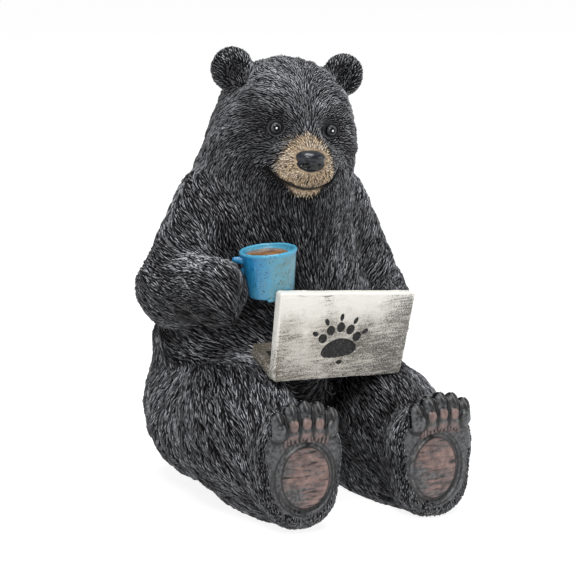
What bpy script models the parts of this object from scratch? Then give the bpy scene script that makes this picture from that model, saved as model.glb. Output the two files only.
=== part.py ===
"""A seated bear figurine in painted cast resin, with a mug in its right paw and an open laptop on its lap.

The bear faces -Y and sits on its flat underside at z = 0. The origin is on that underside, under the head.
The bear is blocked out with balls and tapered limbs, joined by a voxel remesh, and each point is then moved onto
the soft blend of the same lumps. Lumps are placed in figure units, of which the figure is FIGURE_UNITS tall.
"""

import math

import bmesh
import bpy
import numpy as np
from mathutils import Euler, Matrix, Vector
from mathutils.kdtree import KDTree

# The figure, in metres, and the units in which its lumps are placed
FIGURE_HEIGHT = 0.149
FIGURE_UNITS = 149.0
UNIT = FIGURE_HEIGHT / FIGURE_UNITS

# The laptop, in metres. Its lid is a hand-cut slab, a little narrower at its foot
LID_WIDTH = 0.0500
LID_FOOT_WIDTH = 0.0480
LID_HEIGHT = 0.0298
LID_RIGHT_HEIGHT = 0.0278
LID_THICKNESS = 0.0036
LID_LEAN = math.radians(7)
LAPTOP_ROLL = math.radians(3.5)
LID_CORNER = 0.0018
DECK_DEPTH = 0.0160
DECK_THICKNESS = 0.0036
DECK_RISE = math.radians(22)
SCREEN_MARGIN = 0.0030
RECESS_DEPTH = 0.0004
KEYS_START = 0.0045
KEYS_DEPTH = 0.0070
TRACK_DEPTH = 0.0005
TRACK_WIDTH = 0.0140
TRACK_HEIGHT = 0.0120

# The mug, in metres
RIM_RADIUS = 0.0092
FOOT_RADIUS = 0.0072
MUG_HEIGHT = 0.0152
RIM_WALL = 0.0011
COFFEE_DROP = 0.0012
MUG_TILT = math.radians(5)
HANDLE_RADIUS = 0.0012
HANDLE_LENGTH = 0.0048
HANDLE_DROP = 0.0024

# Every glued joint keeps this gap, in metres
JOINT_GAP = 0.0003

# Where the mug and the laptop's hinge sit on the figure, in figure units
MUG_PLACE = (-21.3, -32.5, 72.8)
HINGE_PLACE = (-0.9, -39.0, 48.2)

# Arms as shoulder, elbow and wrist with the radius at each, and how far each foot stands forward, in figure units
RIGHT_ARM = ((-20.5, 7, 95), (-37, 4, 70.5), (-36.2, -23, 74.2), (14.5, 12.6, 10.8))
LEFT_ARM = ((20.8, 7, 93.5), (41, 6, 58), (27, -22, 57), (15, 12, 9))
LEGS = ((-1, 55.5), (1, 61.0))

# Each foot's middle across and up, how far its sole turns, in degrees, and its big pad's middle across the sole
FEET = {-1: (-23.8, 22.4, -8, 0), 1: (22.9, 20.6, 0, -2.4)}
TOES = (-9.0, -4.5, 0.0, 4.5, 9.0)

# The eyes, and half of the mouth from its corner to its middle, in the head's own frame
EYES = ((-1, Vector((-9.2, -18.4, 3.6))), (1, Vector((9.9, -18.4, 3.6))))
MOUTH = ((12.3, -22.6, -9.0), (8.8, -26.6, -11.8), (5.2, -28.7, -13.3), (2.5, -29.1, -14.2), (0, -29.2, -14.5))

# Locks of fur on the bear, in figure units
LOCK_LENGTH = 13.0
LOCK_HALF_WIDTH = 3.6
LOCK_HEIGHT = 1.0
LOCK_SPACING = 6.5
BARE_EDGE = 3.0

# The mesh of the bear, in figure units
BLOCK_VOXEL = 1.7
SKIN_VOXEL = 1.0
SKIN_TRIANGLES = 8200
BARE_CARE = 0.5


def vector(*numbers):
    return np.array(numbers, float)


class Clay:
    """Lumps joined and carved one after another. Each has a softness: the width of its blend."""

    def __init__(self, place=None):
        self.steps = []
        self.place = place or Matrix.Identity(4)

    def ball(self, centre, radii, turn=(0, 0, 0), soft=4.0, cut=False):
        rotation = np.array(Euler([math.radians(a) for a in turn]).to_matrix())
        self.steps.append(("ball", cut, soft, (vector(*centre), vector(*radii), rotation)))

    def limb(self, start, end, start_radius, end_radius, soft=4.0, cut=False):
        shape = (vector(*start), vector(*end), start_radius, end_radius)
        self.steps.append(("limb", cut, soft, shape))

    def ring(self, centre, radii, wire, soft=0.5, cut=False):
        self.steps.append(("ring", cut, soft, (vector(*centre), vector(*radii), wire)))

    def add(self, clay, soft):
        self.steps.append(("clay", False, soft, clay))

    def distance(self, points):
        inverse = np.array(self.place.inverted())
        local = points @ inverse[:3, :3].T + inverse[:3, 3]
        total = np.full(len(points), 1e3)
        for kind, cut, soft, shape in self.steps:
            if kind == "clay":
                found = shape.distance(local)
            else:
                found = DISTANCES[kind](local, *shape)
            total = -blended(-total, found, soft) if cut else blended(total, found, soft)
        return total


def ball_distance(points, centre, radii, rotation):
    local = (points - centre) @ rotation
    near = np.linalg.norm(local / radii, axis=1)
    slope = np.linalg.norm(local / radii**2, axis=1)
    return near * (near - 1.0) / np.maximum(slope, 1e-6)


def limb_distance(points, start, end, start_radius, end_radius):
    along = end - start
    share = np.clip((points - start) @ along / (along @ along), 0, 1)
    nearest = start + share[:, None] * along
    radius = start_radius + share * (end_radius - start_radius)
    return np.linalg.norm(points - nearest, axis=1) - radius


def ring_distance(points, centre, radii, wire):
    """From an upright elliptical ring that faces along Y, made of round wire."""
    local = points - centre
    flat = local[:, [0, 2]]
    near = np.maximum(np.linalg.norm(flat / radii, axis=1), 1e-3)
    gap = np.linalg.norm(flat, axis=1) * (1 - 1 / near)
    return np.hypot(gap, local[:, 1]) - wire


DISTANCES = {"ball": ball_distance, "limb": limb_distance, "ring": ring_distance}


def blended(a, b, soft):
    """The smaller of two distances, rounded over where they are within soft of each other."""
    overlap = np.maximum(soft - np.abs(a - b), 0) / soft
    return np.minimum(a, b) - overlap**2 * soft / 4


def torso():
    clay = Clay()
    clay.ball((0, 11, 26), (33, 31, 30))
    for side in (-1, 1):
        clay.ball((side * 21, 12, 46), (19, 20, 22), soft=10)
    clay.ball((0, 0, 54), (31, 26.5, 33), soft=12)
    clay.ball((1, 6, 84), (28, 25, 30), soft=14)
    clay.ball((1, 13, 96), (24, 20, 22), soft=12)
    clay.limb((1, 11, 98), (-0.5, 7, 113), 22, 20, soft=12)
    clay.ball((1.5, -8, 99), (15, 14, 14), soft=10)
    return clay


def arm(shoulder, elbow, wrist, radii):
    clay = Clay()
    clay.limb(shoulder, elbow, radii[0], radii[1])
    clay.limb(elbow, wrist, radii[1], radii[2], soft=3)
    return clay


def right_paw():
    clay = Clay()
    clay.ball((-36.8, -26.5, 74.4), (9.3, 8.5, 10.6))
    for row in range(4):
        height = 80.3 - 4.1 * row
        clay.limb((-38, -31, height), (-34.2, -34.6, height - 1), 3.6, 2.8, soft=2.0)
    return clay


def left_paw():
    clay = Clay()
    clay.ball((20, -28, 56), (7.5, 8, 5))
    for finger in range(4):
        x = 15.5 + 3.4 * finger
        clay.limb((x, -31, 55.5), (x - 1.5, -36, 53), 2.4, 1.7, soft=1.5)
    return clay


def leg(side, reach):
    """A leg whose foot stands this far in front of the figure's middle."""
    clay = Clay()
    knee = (side * 26.5, -reach * 0.42, 23)
    clay.ball((side * 25, 7, 27), (19, 27, 24), soft=6)
    clay.limb((side * 25.5, -2, 26), knee, 19, 17.3, soft=8)
    clay.limb(knee, (side * 25, 15 - reach, 19), 17.3, 15.5, soft=8)
    clay.ball((side * 21.5, -reach * 0.42, 5), (10, reach / 2, 9), soft=6)
    if side < 0:
        clay.ball((-28, -20, 31), (17, 27, 19.5), soft=5)
    else:
        clay.ball((22, -24, 32), (12, 24, 16), soft=4)
    return clay


def foot_place(side, reach):
    across, up, turn, pad = FEET[side]
    return Matrix.Translation((across, -reach, up)) @ Matrix.Rotation(math.radians(turn), 4, "Z")


def foot(side, reach):
    clay = Clay(foot_place(side, reach))
    pad = FEET[side][3]
    clay.ball((0, 2.5, -8.2), (12.6, 11.5, 12.8))
    clay.ball((0, 2.5, 3.5), (14.0, 11.5, 13.4), soft=5)
    clay.ball((0, -204.4, 0), (200, 200, 200), soft=2, cut=True)
    clay.ball((pad, -3.2, -3.0), (9.0, 2.4, 11.0), soft=0.8)
    clay.ring((pad, -4.9, -3.0), (9.3, 11.3), 1.1, soft=0.6, cut=True)
    for x in TOES:
        top = toe_top(x)
        clay.limb((x * 0.97, -3.2, 11.5), (x, -2.6, top), 2.2, 2.2, soft=0.5)
        clay.limb((x, -2.6, top + 0.9), (x, -5.0, top - 0.6), 1.3, 0.8, soft=0.5)
    return clay


def toe_top(x):
    return 19.3 - 0.035 * x * x


def head_place():
    turn = Euler((math.radians(4), math.radians(5), math.radians(-11)))
    return Matrix.Translation((2.4, 2, 121.2)) @ turn.to_matrix().to_4x4()


def head():
    clay = Clay(head_place())
    clay.ball((0, 1, 3), (22.3, 22, 20.8))
    clay.ball((0, -7, 6), (16, 12.5, 12), soft=8)
    for side in (-1, 1):
        clay.ball((side * 12, -5, -7), (11, 13, 12), soft=9)
    clay.ball((0, -4, -12), (15, 14, 9), soft=8)
    clay.limb((0, -10, 1), (0, -22, -3.5), 10, 7.0, soft=9)
    clay.ball((0, -17.5, -8.5), (10.5, 12.5, 8.2), soft=9)
    for side in (-1, 1):
        clay.ball((side * 3.6, -23, -9.8), (5.6, 6.6, 5.2), soft=4)
    clay.ball((0, -18.5, -15.2), (7, 9.5, 4.2), soft=3)
    for side in (-1, 1):
        half = [(side * x, y, z) for x, y, z in MOUTH]
        for start, end in zip(half, half[1:]):
            clay.limb(start, end, 0.85, 0.85, soft=0.6, cut=True)
    clay.ball((0, -29.8, -3.9), (4.8, 3.6, 2.7), soft=0.6)
    clay.ball((0, -29.8, -6.3), (3.7, 3.3, 2.7), soft=1.2)
    for side in (-1, 1):
        clay.ball((side * 2.3, -33.2, -6.0), (1.2, 1.6, 1.0), soft=0.4, cut=True)
    for side, eye in EYES:
        clay.ball(eye + Vector((side * 0.2, -4.1, -0.2)), (4.8, 3.4, 4.2), soft=4, cut=True)
        clay.ball(eye, (2.9, 2.6, 2.6), soft=0.8)
        clay.ball((side * 19.6, 1.5, 19.1), (7.0, 3.8, 7.2), turn=(0, side * 12, 0), soft=3)
        clay.ball((side * 19.8, -2.7, 18.9), (4.6, 3.0, 4.8), turn=(0, side * 12, 0), soft=1.5, cut=True)
    return clay


def bear_clay():
    clay = Clay()
    clay.add(torso(), 0.1)
    for side, reach in LEGS:
        clay.add(leg(side, reach), 3.5)
        clay.add(foot(side, reach), 5)
    clay.add(arm(*RIGHT_ARM), 3.5)
    clay.add(arm(*LEFT_ARM), 3.5)
    clay.add(right_paw(), 3)
    clay.add(left_paw(), 3)
    clay.add(head(), 6)
    return clay


def bare_clay():
    """What has no locks: the face, the hollows of the ears, the soles and the toes."""
    clay = Clay()
    face = Clay(head_place())
    face.ball((0, -27, -8), (15, 15, 14))
    for side, eye in EYES:
        face.ball(eye - Vector((0, 2.6, 0.6)), (6, 6, 5.5), soft=0.1)
        face.ball((side * 19.8, -4, 19), (7, 5, 7), soft=0.1)
    clay.add(face, 0.1)
    for side, reach in LEGS:
        sole = Clay(foot_place(side, reach))
        sole.ball((0, -7, 2), (15, 10, 26))
        clay.add(sole, 0.1)
    return clay


def unit_rows(rows):
    return rows / np.maximum(np.linalg.norm(rows, axis=1), 1e-6)[:, None]


def torso_way(points):
    """Down, and in towards the middle of the chest and belly."""
    way = np.zeros_like(points)
    front = np.clip(-points[:, 1] / 20, 0, 1)
    way[:, 0] = -points[:, 0] / 30 * front
    way[:, 2] = -1
    return way


def leg_way(points, side, reach):
    """Out from the top of the thigh, and forward along the underside to the foot."""
    way = unit_rows(points - vector(side * 22, -10, 46))
    way[:, 1] -= np.clip((26 - points[:, 2]) / 26, 0, 1)
    return way


def head_way(points):
    """Away from the nose, and down behind the ears."""
    nose = np.array(head_place() @ Vector((0, -32, -5)))
    away = points - nose
    way = unit_rows(away)
    way[:, 2] -= np.linalg.norm(away, axis=1) / 55
    return way


def fur_way(points, normals):
    """The way the fur lies at each point, mixed from the nearest regions and laid along the surface."""
    regions = [(torso(), torso_way(points)), (head(), head_way(points))]
    for shoulder, elbow, wrist, radii in (RIGHT_ARM, LEFT_ARM):
        for start, end, share in ((shoulder, elbow, 0), (elbow, wrist, 1)):
            sleeve = Clay()
            sleeve.limb(start, end, radii[share], radii[share + 1])
            along = vector(*end) - vector(*start)
            regions.append((sleeve, np.tile(along / np.linalg.norm(along), (len(points), 1))))
    for side, reach in LEGS:
        regions.append((leg(side, reach), leg_way(points, side, reach)))
        regions.append((foot(side, reach), np.tile(vector(0, 0, -1), (len(points), 1))))
    nearness = np.array([np.exp(-clay.distance(points) / 3) for clay, way in regions])
    total = sum(near[:, None] * unit_rows(way) for near, (clay, way) in zip(nearness, regions))
    total -= (total * normals).sum(axis=1)[:, None] * normals
    return unit_rows(total)


def lock_roots(clay):
    """Points spread over the skin, no two nearer than the spacing of the locks."""
    random = np.random.default_rng(7)
    spread = random.uniform((-60, -75, 0), (60, 50, FIGURE_UNITS), (60000, 3))
    shell = spread[np.abs(clay.distance(spread)) < 4]
    points, normals = onto_surface(clay, shell, rounds=4)
    tree = KDTree(len(points))
    for index, point in enumerate(points):
        tree.insert(point, index)
    tree.balance()
    free = np.ones(len(points), bool)
    kept = []
    for index, point in enumerate(points):
        if free[index]:
            kept.append(index)
            free[[near for where, near, gap in tree.find_range(point, LOCK_SPACING)]] = False
    return points[kept], normals[kept]


def lock_height(points, clay):
    """How far the locks of fur lift each point. A lock rises from its root to its tip, then drops."""
    roots, normals = lock_roots(clay)
    ways = fur_way(roots, normals)
    tree = KDTree(len(roots))
    for index, root in enumerate(roots):
        tree.insert(root, index)
    tree.balance()
    height = np.zeros(len(points))
    for row, point in enumerate(points):
        for where, index, gap in tree.find_range(point, LOCK_LENGTH * 0.6):
            offset = point - roots[index]
            along = offset @ ways[index] / LOCK_LENGTH + 0.5
            if not 0 < along < 1:
                continue
            across = abs(offset @ np.cross(normals[index], ways[index])) / (LOCK_HALF_WIDTH * (1 - along**3) ** 0.5)
            if across < 1:
                rise = (0.3 + 0.7 * along) * min(1, (1 - along) / 0.25)
                height[row] = max(height[row], rise * (1 - across**2))
    return LOCK_HEIGHT * (height - 0.35)


def block_out(clay, place, bm):
    """Blender primitives in place of the lumps that add material."""
    here = place @ clay.place
    for kind, cut, soft, shape in clay.steps:
        if cut:
            continue
        if kind == "clay":
            block_out(shape, here, bm)
        elif kind == "ball":
            centre, radii, rotation = shape
            turn = Matrix(rotation.tolist()).to_4x4()
            matrix = here @ Matrix.Translation(centre) @ turn @ Matrix.Diagonal((*radii, 1))
            bmesh.ops.create_icosphere(bm, subdivisions=3, radius=1, matrix=matrix)
        else:
            start, end, start_radius, end_radius = shape
            along = Vector(end - start)
            turn = along.to_track_quat("Z", "Y").to_matrix().to_4x4()
            middle = Matrix.Translation(Vector((start + end) / 2))
            bmesh.ops.create_cone(
                bm, cap_ends=True, segments=24, radius1=start_radius, radius2=end_radius,
                depth=along.length, matrix=here @ middle @ turn)
            for centre, radius in ((start, start_radius), (end, end_radius)):
                matrix = here @ Matrix.Translation(Vector(centre))
                bmesh.ops.create_icosphere(bm, subdivisions=3, radius=radius, matrix=matrix)


def evaluated_mesh(item):
    graph = bpy.context.evaluated_depsgraph_get()
    return bpy.data.meshes.new_from_object(item.evaluated_get(graph))


def settle(item):
    """Bakes an object's modifiers into its mesh."""
    mesh = evaluated_mesh(item)
    item.modifiers.clear()
    item.data = mesh


def points_of(mesh):
    points = np.empty(len(mesh.vertices) * 3, np.float32)
    mesh.vertices.foreach_get("co", points)
    return points.reshape(-1, 3).astype(float)


def onto_surface(clay, points, rounds=5):
    """Moves each point along the steepest way until it lies on the clay's surface."""
    step = 0.05
    for _ in range(rounds):
        here = clay.distance(points)
        slope = np.empty_like(points)
        for axis in range(3):
            shifted = points.copy()
            shifted[:, axis] += step
            slope[:, axis] = (clay.distance(shifted) - here) / step
        steepness = np.maximum((slope**2).sum(axis=1), 0.2)
        points = points - slope * (here / steepness)[:, None]
    return points, slope / np.sqrt(steepness)[:, None]


def remeshed(item, voxel):
    remesh = item.modifiers.new("Even skin", "REMESH")
    remesh.mode = "VOXEL"
    remesh.voxel_size = voxel
    settle(item)


def new_object(name, bm, collection):
    mesh = bpy.data.meshes.new(name)
    bm.to_mesh(mesh)
    bm.free()
    item = bpy.data.objects.new(name, mesh)
    collection.objects.link(item)
    return item


def make_bear(collection):
    clay = bear_clay()
    bm = bmesh.new()
    block_out(clay, Matrix.Identity(4), bm)
    bear = new_object("bear", bm, collection)
    for voxel in (BLOCK_VOXEL, SKIN_VOXEL):
        remeshed(bear, voxel)
        points, normals = onto_surface(clay, points_of(bear.data))
        bear.data.vertices.foreach_set("co", points.ravel())
    furry = np.clip(bare_clay().distance(points) / BARE_EDGE, 0, 1) * np.clip(points[:, 2] / BARE_EDGE, 0, 1)
    points += normals * (lock_height(points, clay) * furry)[:, None]
    bear.data.vertices.foreach_set("co", points.ravel())
    bare = bear.vertex_groups.new(name="bare")
    near_bare = np.clip(1.5 - bare_clay().distance(points) / BARE_EDGE, 0, 1) * BARE_CARE
    for index in np.flatnonzero(near_bare > 0):
        bare.add([int(index)], float(near_bare[index]), "REPLACE")
    fewer = bear.modifiers.new("Fewer faces", "DECIMATE")
    fewer.vertex_group = "bare"
    fewer.invert_vertex_group = True
    fewer.vertex_group_factor = 1.0
    fewer.ratio = SKIN_TRIANGLES / sum(len(face.vertices) - 2 for face in bear.data.polygons)
    settle(bear)
    bear.data.transform(Matrix.Scale(UNIT, 4))
    bear.data.update()
    return bear


def cut_by(item, cutter):
    cut = item.modifiers.new("Cut by " + cutter.name, "BOOLEAN")
    cut.operation = "DIFFERENCE"
    cut.solver = "EXACT"
    cut.object = cutter
    cutter.hide_render = True
    cutter.display_type = "WIRE"


def slab(bm, corners, thickness, corner_radius, middle=0.0):
    """A flat slab in the XZ plane with rounded corners. The corners run round from the lower left."""
    made = bmesh.ops.create_cube(bm, size=1)["verts"]
    for vert in made:
        right = vert.co.x > 0
        number = (2 if right else 3) if vert.co.z > 0 else (1 if right else 0)
        vert.co.y = middle + math.copysign(thickness / 2, vert.co.y)
        vert.co.x, vert.co.z = corners[number]
    edges = {edge for vert in made for edge in vert.link_edges}
    across = [edge for edge in edges if abs(edge.verts[0].co.y - edge.verts[1].co.y) > thickness / 2]
    bmesh.ops.bevel(bm, geom=across, offset=corner_radius, segments=4, profile=0.5, affect="EDGES")


def hinge_place():
    return Matrix.Translation(Vector(HINGE_PLACE) * UNIT) @ Matrix.Rotation(LAPTOP_ROLL, 4, "Y")


def lid_place():
    """The lid's own frame: X along the hinge, Z up the lid, and its outer face towards -Y."""
    return hinge_place() @ Matrix.Rotation(LID_LEAN, 4, "X")


def deck_place():
    """The deck's own frame: X along the hinge, Z back over the deck, and its keys towards -Y."""
    return hinge_place() @ Matrix.Rotation(DECK_RISE - math.pi / 2, 4, "X")


def lid_body(grow):
    """The lid leans away from the bear, and its foot covers the front edge of the deck."""
    half_top = LID_WIDTH / 2 + grow
    half_foot = LID_FOOT_WIDTH / 2 + grow
    foot_drop = DECK_THICKNESS * math.cos(DECK_RISE)
    low = -foot_drop - grow
    left_high = LID_HEIGHT - foot_drop + grow
    right_high = LID_RIGHT_HEIGHT - foot_drop + grow
    bm = bmesh.new()
    corners = ((-half_foot, low), (half_foot, low), (half_top, right_high), (-half_top, left_high))
    slab(bm, corners, LID_THICKNESS + 2 * grow, LID_CORNER + grow)
    bm.transform(lid_place())
    return bm


def deck_body(grow):
    """The deck runs back and up from the hinge, towards the belly."""
    half = LID_FOOT_WIDTH / 2 - JOINT_GAP + grow
    bm = bmesh.new()
    corners = ((-half, -grow), (half, -grow), (half, DECK_DEPTH + grow), (-half, DECK_DEPTH + grow))
    slab(bm, corners, DECK_THICKNESS + 2 * grow, LID_CORNER + grow, middle=DECK_THICKNESS / 2)
    bm.transform(deck_place())
    return bm


def box(bm, place, low, high):
    """A box between two corners given in the frame of place."""
    low = Vector(low)
    high = Vector(high)
    matrix = place @ Matrix.Translation((low + high) / 2) @ Matrix.Diagonal((*(high - low), 1))
    bmesh.ops.create_cube(bm, size=1, matrix=matrix)


def screen_and_keys():
    bm = bmesh.new()
    half = LID_FOOT_WIDTH / 2 - SCREEN_MARGIN
    inner = LID_THICKNESS / 2
    top = LID_RIGHT_HEIGHT - DECK_THICKNESS - SCREEN_MARGIN
    box(bm, lid_place(), (-half, inner - RECESS_DEPTH, SCREEN_MARGIN), (half, inner + RECESS_DEPTH, top))
    box(bm, deck_place(), (-half, -RECESS_DEPTH, KEYS_START), (half, RECESS_DEPTH, KEYS_START + KEYS_DEPTH))
    return bm


def disc(bm, centre, radii, turn):
    """An elliptical plug through the lid's outer face, centred on (x, z) in the lid's frame."""
    place = lid_place() @ Matrix.Translation((centre[0], -LID_THICKNESS / 2, centre[1]))
    flat = Matrix.Rotation(turn, 4, "Y") @ Matrix.Diagonal((radii[0], 1, radii[1], 1))
    upright = Matrix.Rotation(math.pi / 2, 4, "X")
    bmesh.ops.create_cone(bm, cap_ends=True, segments=14, radius1=1, radius2=1, depth=TRACK_DEPTH * 2,
                          matrix=place @ flat @ upright)


def track():
    """A bear's track: a broad pad under a fan of five toes, each with a claw mark beyond it."""
    bm = bmesh.new()
    middle_x = -0.001
    middle_z = LID_HEIGHT * 0.23
    disc(bm, (middle_x, middle_z), (TRACK_WIDTH / 2, TRACK_HEIGHT * 0.27), 0)
    for toe in range(-2, 3):
        angle = math.radians(30) * toe
        for share, size in ((0.60, 0.100), (0.92, 0.070)):
            x = middle_x + TRACK_WIDTH * 0.9 * share * math.sin(angle)
            z = middle_z + TRACK_HEIGHT * share * math.cos(angle)
            wide = TRACK_WIDTH * size * (1 if share < 0.7 else 0.5)
            disc(bm, (x, z), (wide, TRACK_WIDTH * size), angle)
    return bm


def joined_to(item, other):
    join = item.modifiers.new("Joined to " + other.name, "BOOLEAN")
    join.operation = "UNION"
    join.solver = "EXACT"
    join.object = other
    other.hide_render = True
    other.display_type = "WIRE"


def make_laptop(collection, cutters):
    laptop = new_object("laptop", lid_body(0), collection)
    joined_to(laptop, new_object("deck", deck_body(0), cutters))
    cut_by(laptop, new_object("screen_and_keys", screen_and_keys(), cutters))
    cut_by(laptop, new_object("track", track(), cutters))
    return laptop


def mug_profile(grow):
    """From the middle of the coffee out over the rim and down to the foot, as radius and height."""
    rim = RIM_RADIUS + grow
    foot = FOOT_RADIUS + grow
    top = MUG_HEIGHT + grow
    if grow:
        return [(0, top), (rim, top), (foot, -grow), (0, -grow)]
    inner = RIM_RADIUS - RIM_WALL
    return [(0, top - COFFEE_DROP), (inner, top - COFFEE_DROP), (inner + 0.0002, top - 0.0002),
            (inner + RIM_WALL / 2, top), (rim, top - 0.0003), (foot, 0.0004), (foot - 0.0004, 0), (0, 0)]


def mug_place():
    return Matrix.Translation(Vector(MUG_PLACE) * UNIT) @ Matrix.Rotation(-MUG_TILT, 4, "Y")


def turned_mug(name, grow, collection):
    bm = bmesh.new()
    verts = [bm.verts.new((radius, 0, height)) for radius, height in mug_profile(grow)]
    for first, second in zip(verts, verts[1:]):
        bm.edges.new((first, second))
    item = new_object(name, bm, collection)
    turned = item.modifiers.new("Turned", "SCREW")
    turned.steps = turned.render_steps = 32
    turned.use_merge_vertices = True
    turned.merge_threshold = 0.00001
    settle(item)
    item.data.transform(mug_place())
    return item


def handle(name, grow, collection):
    """The stub of the handle that shows between the mug's wall and the paw."""
    height = MUG_HEIGHT - HANDLE_DROP
    wall = RIM_RADIUS - RIM_WALL
    bm = bmesh.new()
    middle = Matrix.Translation((-wall - HANDLE_LENGTH / 2, 0, height)) @ Matrix.Rotation(-math.pi / 2, 4, "Y")
    bmesh.ops.create_cone(
        bm, cap_ends=True, segments=12, radius1=HANDLE_RADIUS + grow, radius2=HANDLE_RADIUS * 0.8 + grow,
        depth=HANDLE_LENGTH + 2 * grow, matrix=mug_place() @ Matrix.Rotation(math.radians(-16), 4, "Z") @ middle)
    return new_object(name, bm, collection)


def make_mug(collection, cutters):
    mug = turned_mug("mug", 0, collection)
    joined_to(mug, handle("handle", 0, cutters))
    return mug


def paint(item, name, colour, roughness, metallic):
    material = bpy.data.materials.new(name)
    material.use_nodes = True
    shader = material.node_tree.nodes["Principled BSDF"]
    shader.inputs["Base Color"].default_value = (*colour, 1)
    shader.inputs["Roughness"].default_value = roughness
    shader.inputs["Metallic"].default_value = metallic
    item.data.materials.append(material)
    item.data.shade_smooth()
    item.data.set_sharp_from_angle(angle=math.radians(40))


def ground_cutter(collection):
    bm = bmesh.new()
    size = FIGURE_HEIGHT * 2
    bmesh.ops.create_cube(bm, size=size, matrix=Matrix.Translation((0, 0, -size / 2)))
    return new_object("ground", bm, collection)


def main():
    for item in list(bpy.data.objects):
        bpy.data.objects.remove(item)
    figure = bpy.data.collections.new("Bear figurine")
    cutters = bpy.data.collections.new("Cutters")
    bpy.context.scene.collection.children.link(figure)
    bpy.context.scene.collection.children.link(cutters)
    bear = make_bear(figure)
    laptop = make_laptop(figure, cutters)
    mug = make_mug(figure, cutters)
    cut_by(bear, ground_cutter(cutters))
    cut_by(bear, turned_mug("mug_room", JOINT_GAP, cutters))
    cut_by(bear, handle("handle_room", JOINT_GAP, cutters))
    cut_by(bear, new_object("lid_room", lid_body(JOINT_GAP), cutters))
    cut_by(bear, new_object("deck_room", deck_body(JOINT_GAP), cutters))
    paint(bear, "Black fur", (0.035, 0.036, 0.040), 0.55, 0.0)
    paint(laptop, "Weathered silver", (0.62, 0.60, 0.55), 0.45, 0.2)
    paint(mug, "Sky blue glaze", (0.06, 0.36, 0.62), 0.30, 0.0)


main()
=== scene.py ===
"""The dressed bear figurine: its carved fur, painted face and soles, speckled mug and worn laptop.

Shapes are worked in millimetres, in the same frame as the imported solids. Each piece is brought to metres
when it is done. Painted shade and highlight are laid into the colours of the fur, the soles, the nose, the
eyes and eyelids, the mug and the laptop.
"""

import math

import bmesh
import bpy
import numpy as np
from mathutils import Euler, Matrix, Vector, noise
from mathutils.bvhtree import BVHTree
from mathutils.kdtree import KDTree


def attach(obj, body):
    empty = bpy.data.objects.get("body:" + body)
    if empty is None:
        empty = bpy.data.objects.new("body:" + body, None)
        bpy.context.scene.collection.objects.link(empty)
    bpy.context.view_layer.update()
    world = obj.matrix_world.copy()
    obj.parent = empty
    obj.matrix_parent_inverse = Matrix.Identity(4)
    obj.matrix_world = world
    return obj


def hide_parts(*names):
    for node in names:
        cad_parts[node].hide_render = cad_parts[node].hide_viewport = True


MM = 0.001

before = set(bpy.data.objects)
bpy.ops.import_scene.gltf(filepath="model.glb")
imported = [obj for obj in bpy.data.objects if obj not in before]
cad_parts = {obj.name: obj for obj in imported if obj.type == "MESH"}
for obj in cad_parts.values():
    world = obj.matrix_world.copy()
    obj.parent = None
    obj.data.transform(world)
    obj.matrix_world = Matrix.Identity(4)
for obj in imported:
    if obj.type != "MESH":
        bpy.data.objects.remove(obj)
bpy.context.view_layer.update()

# The camera of the photograph
CAMERA_ROUND = math.radians(29.5)
CAMERA_ABOVE = math.radians(11.5)
CAMERA_AWAY = 0.707
CAMERA_LENS = 130
CAMERA_AIM = Vector((0.00235, -0.00133, 0.0672))

# Arms as shoulder, elbow and wrist with the radius at each
RIGHT_ARM = ((-20.5, 7, 95), (-37, 4, 70.5), (-37.2, -22.4, 74.2), (14.5, 12.6, 9.5))
LEFT_ARM = ((20.8, 7, 93.5), (41, 6, 58), (27, -22, 57), (15, 12, 9))

# Each leg's side and how far its foot stands forward
LEGS = ((-1, 55.5), (1, 61.0))

# Each foot's middle across and up, how far its sole turns, in degrees, and its big pad's middle across it
FEET = {-1: (-23.8, 22.4, -8, 0), 1: (22.9, 20.6, 0, -2.4)}

# The toes across a foot, the big pad's middle above the foot's and its groove's reach across and up, and the
# pleats above it, all in the foot's own frame
TOES = (-9.0, -4.5, 0.0, 4.5, 9.0)
PAD_UP = -3.0
PAD_GROOVE = (9.3, 11.3)
PLEATS = 12
PLEATS_START = -6.9
PLEAT_PITCH = 1.27

# The face in the head's own frame: the eyes, their size and how high their opening is for its width, half of
# the mouth from its corner to its middle, the hollow of the left ear and the slit beside the left nostril
EYES = ((-1, Vector((-9.2, -18.4, 3.6))), (1, Vector((9.9, -18.4, 3.6))))
EYE_RADIUS = 2.25
EYE_OPENING = 0.92
MOUTH = (
    (12.3, -22.6, -9.0), (8.8, -26.6, -11.8), (5.2, -28.7, -13.3), (2.5, -29.1, -14.2), (0, -29.2, -14.5))
EAR_HOLLOW = ((19.0, -3.6, 18.2), (3.6, 5.0, 4.9))
NOSTRIL_SLIT = ((3.0, -33.0, -6.2), (4.9, -30.6, -5.2))

# The laptop's places and sizes, with how far the lid's upper right corner leans out
HINGE = Vector((-0.9, -39.0, 48.2))
LAPTOP_ROLL = math.radians(3.5)
LID_LEAN = math.radians(7)
LID_WIDTH = 50.0
LID_FOOT_WIDTH = 48.0
LID_HEIGHT = 29.8
LID_RIGHT_HEIGHT = 27.8
LID_SLANT = 1.0
LID_THICKNESS = 3.6
DECK_DEPTH = 16.0
DECK_THICKNESS = 3.6
DECK_RISE = math.radians(22)
LID_CORNER = 1.8
SCREEN_MARGIN = 3.0
KEYS_START = 4.5
KEYS_DEPTH = 7.0
KEYS_SUNK = 0.4
KEY_ROWS = 4
KEYS_ACROSS = 13
TRACK_MIDDLE = (-1.0, 6.85)
TRACK_FAN = math.radians(30)
TRACK_DEPTH = 0.65

# The mug's place and sizes
MUG_PLACE = Vector((-21.3, -32.5, 72.8))
MUG_TILT = math.radians(5)
RIM_RADIUS = 9.2
FOOT_RADIUS = 7.2
MUG_HEIGHT = 15.2
RIM_WALL = 1.1
COFFEE_LEVEL = 14.0
JOINT_GAP = 0.3

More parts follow.
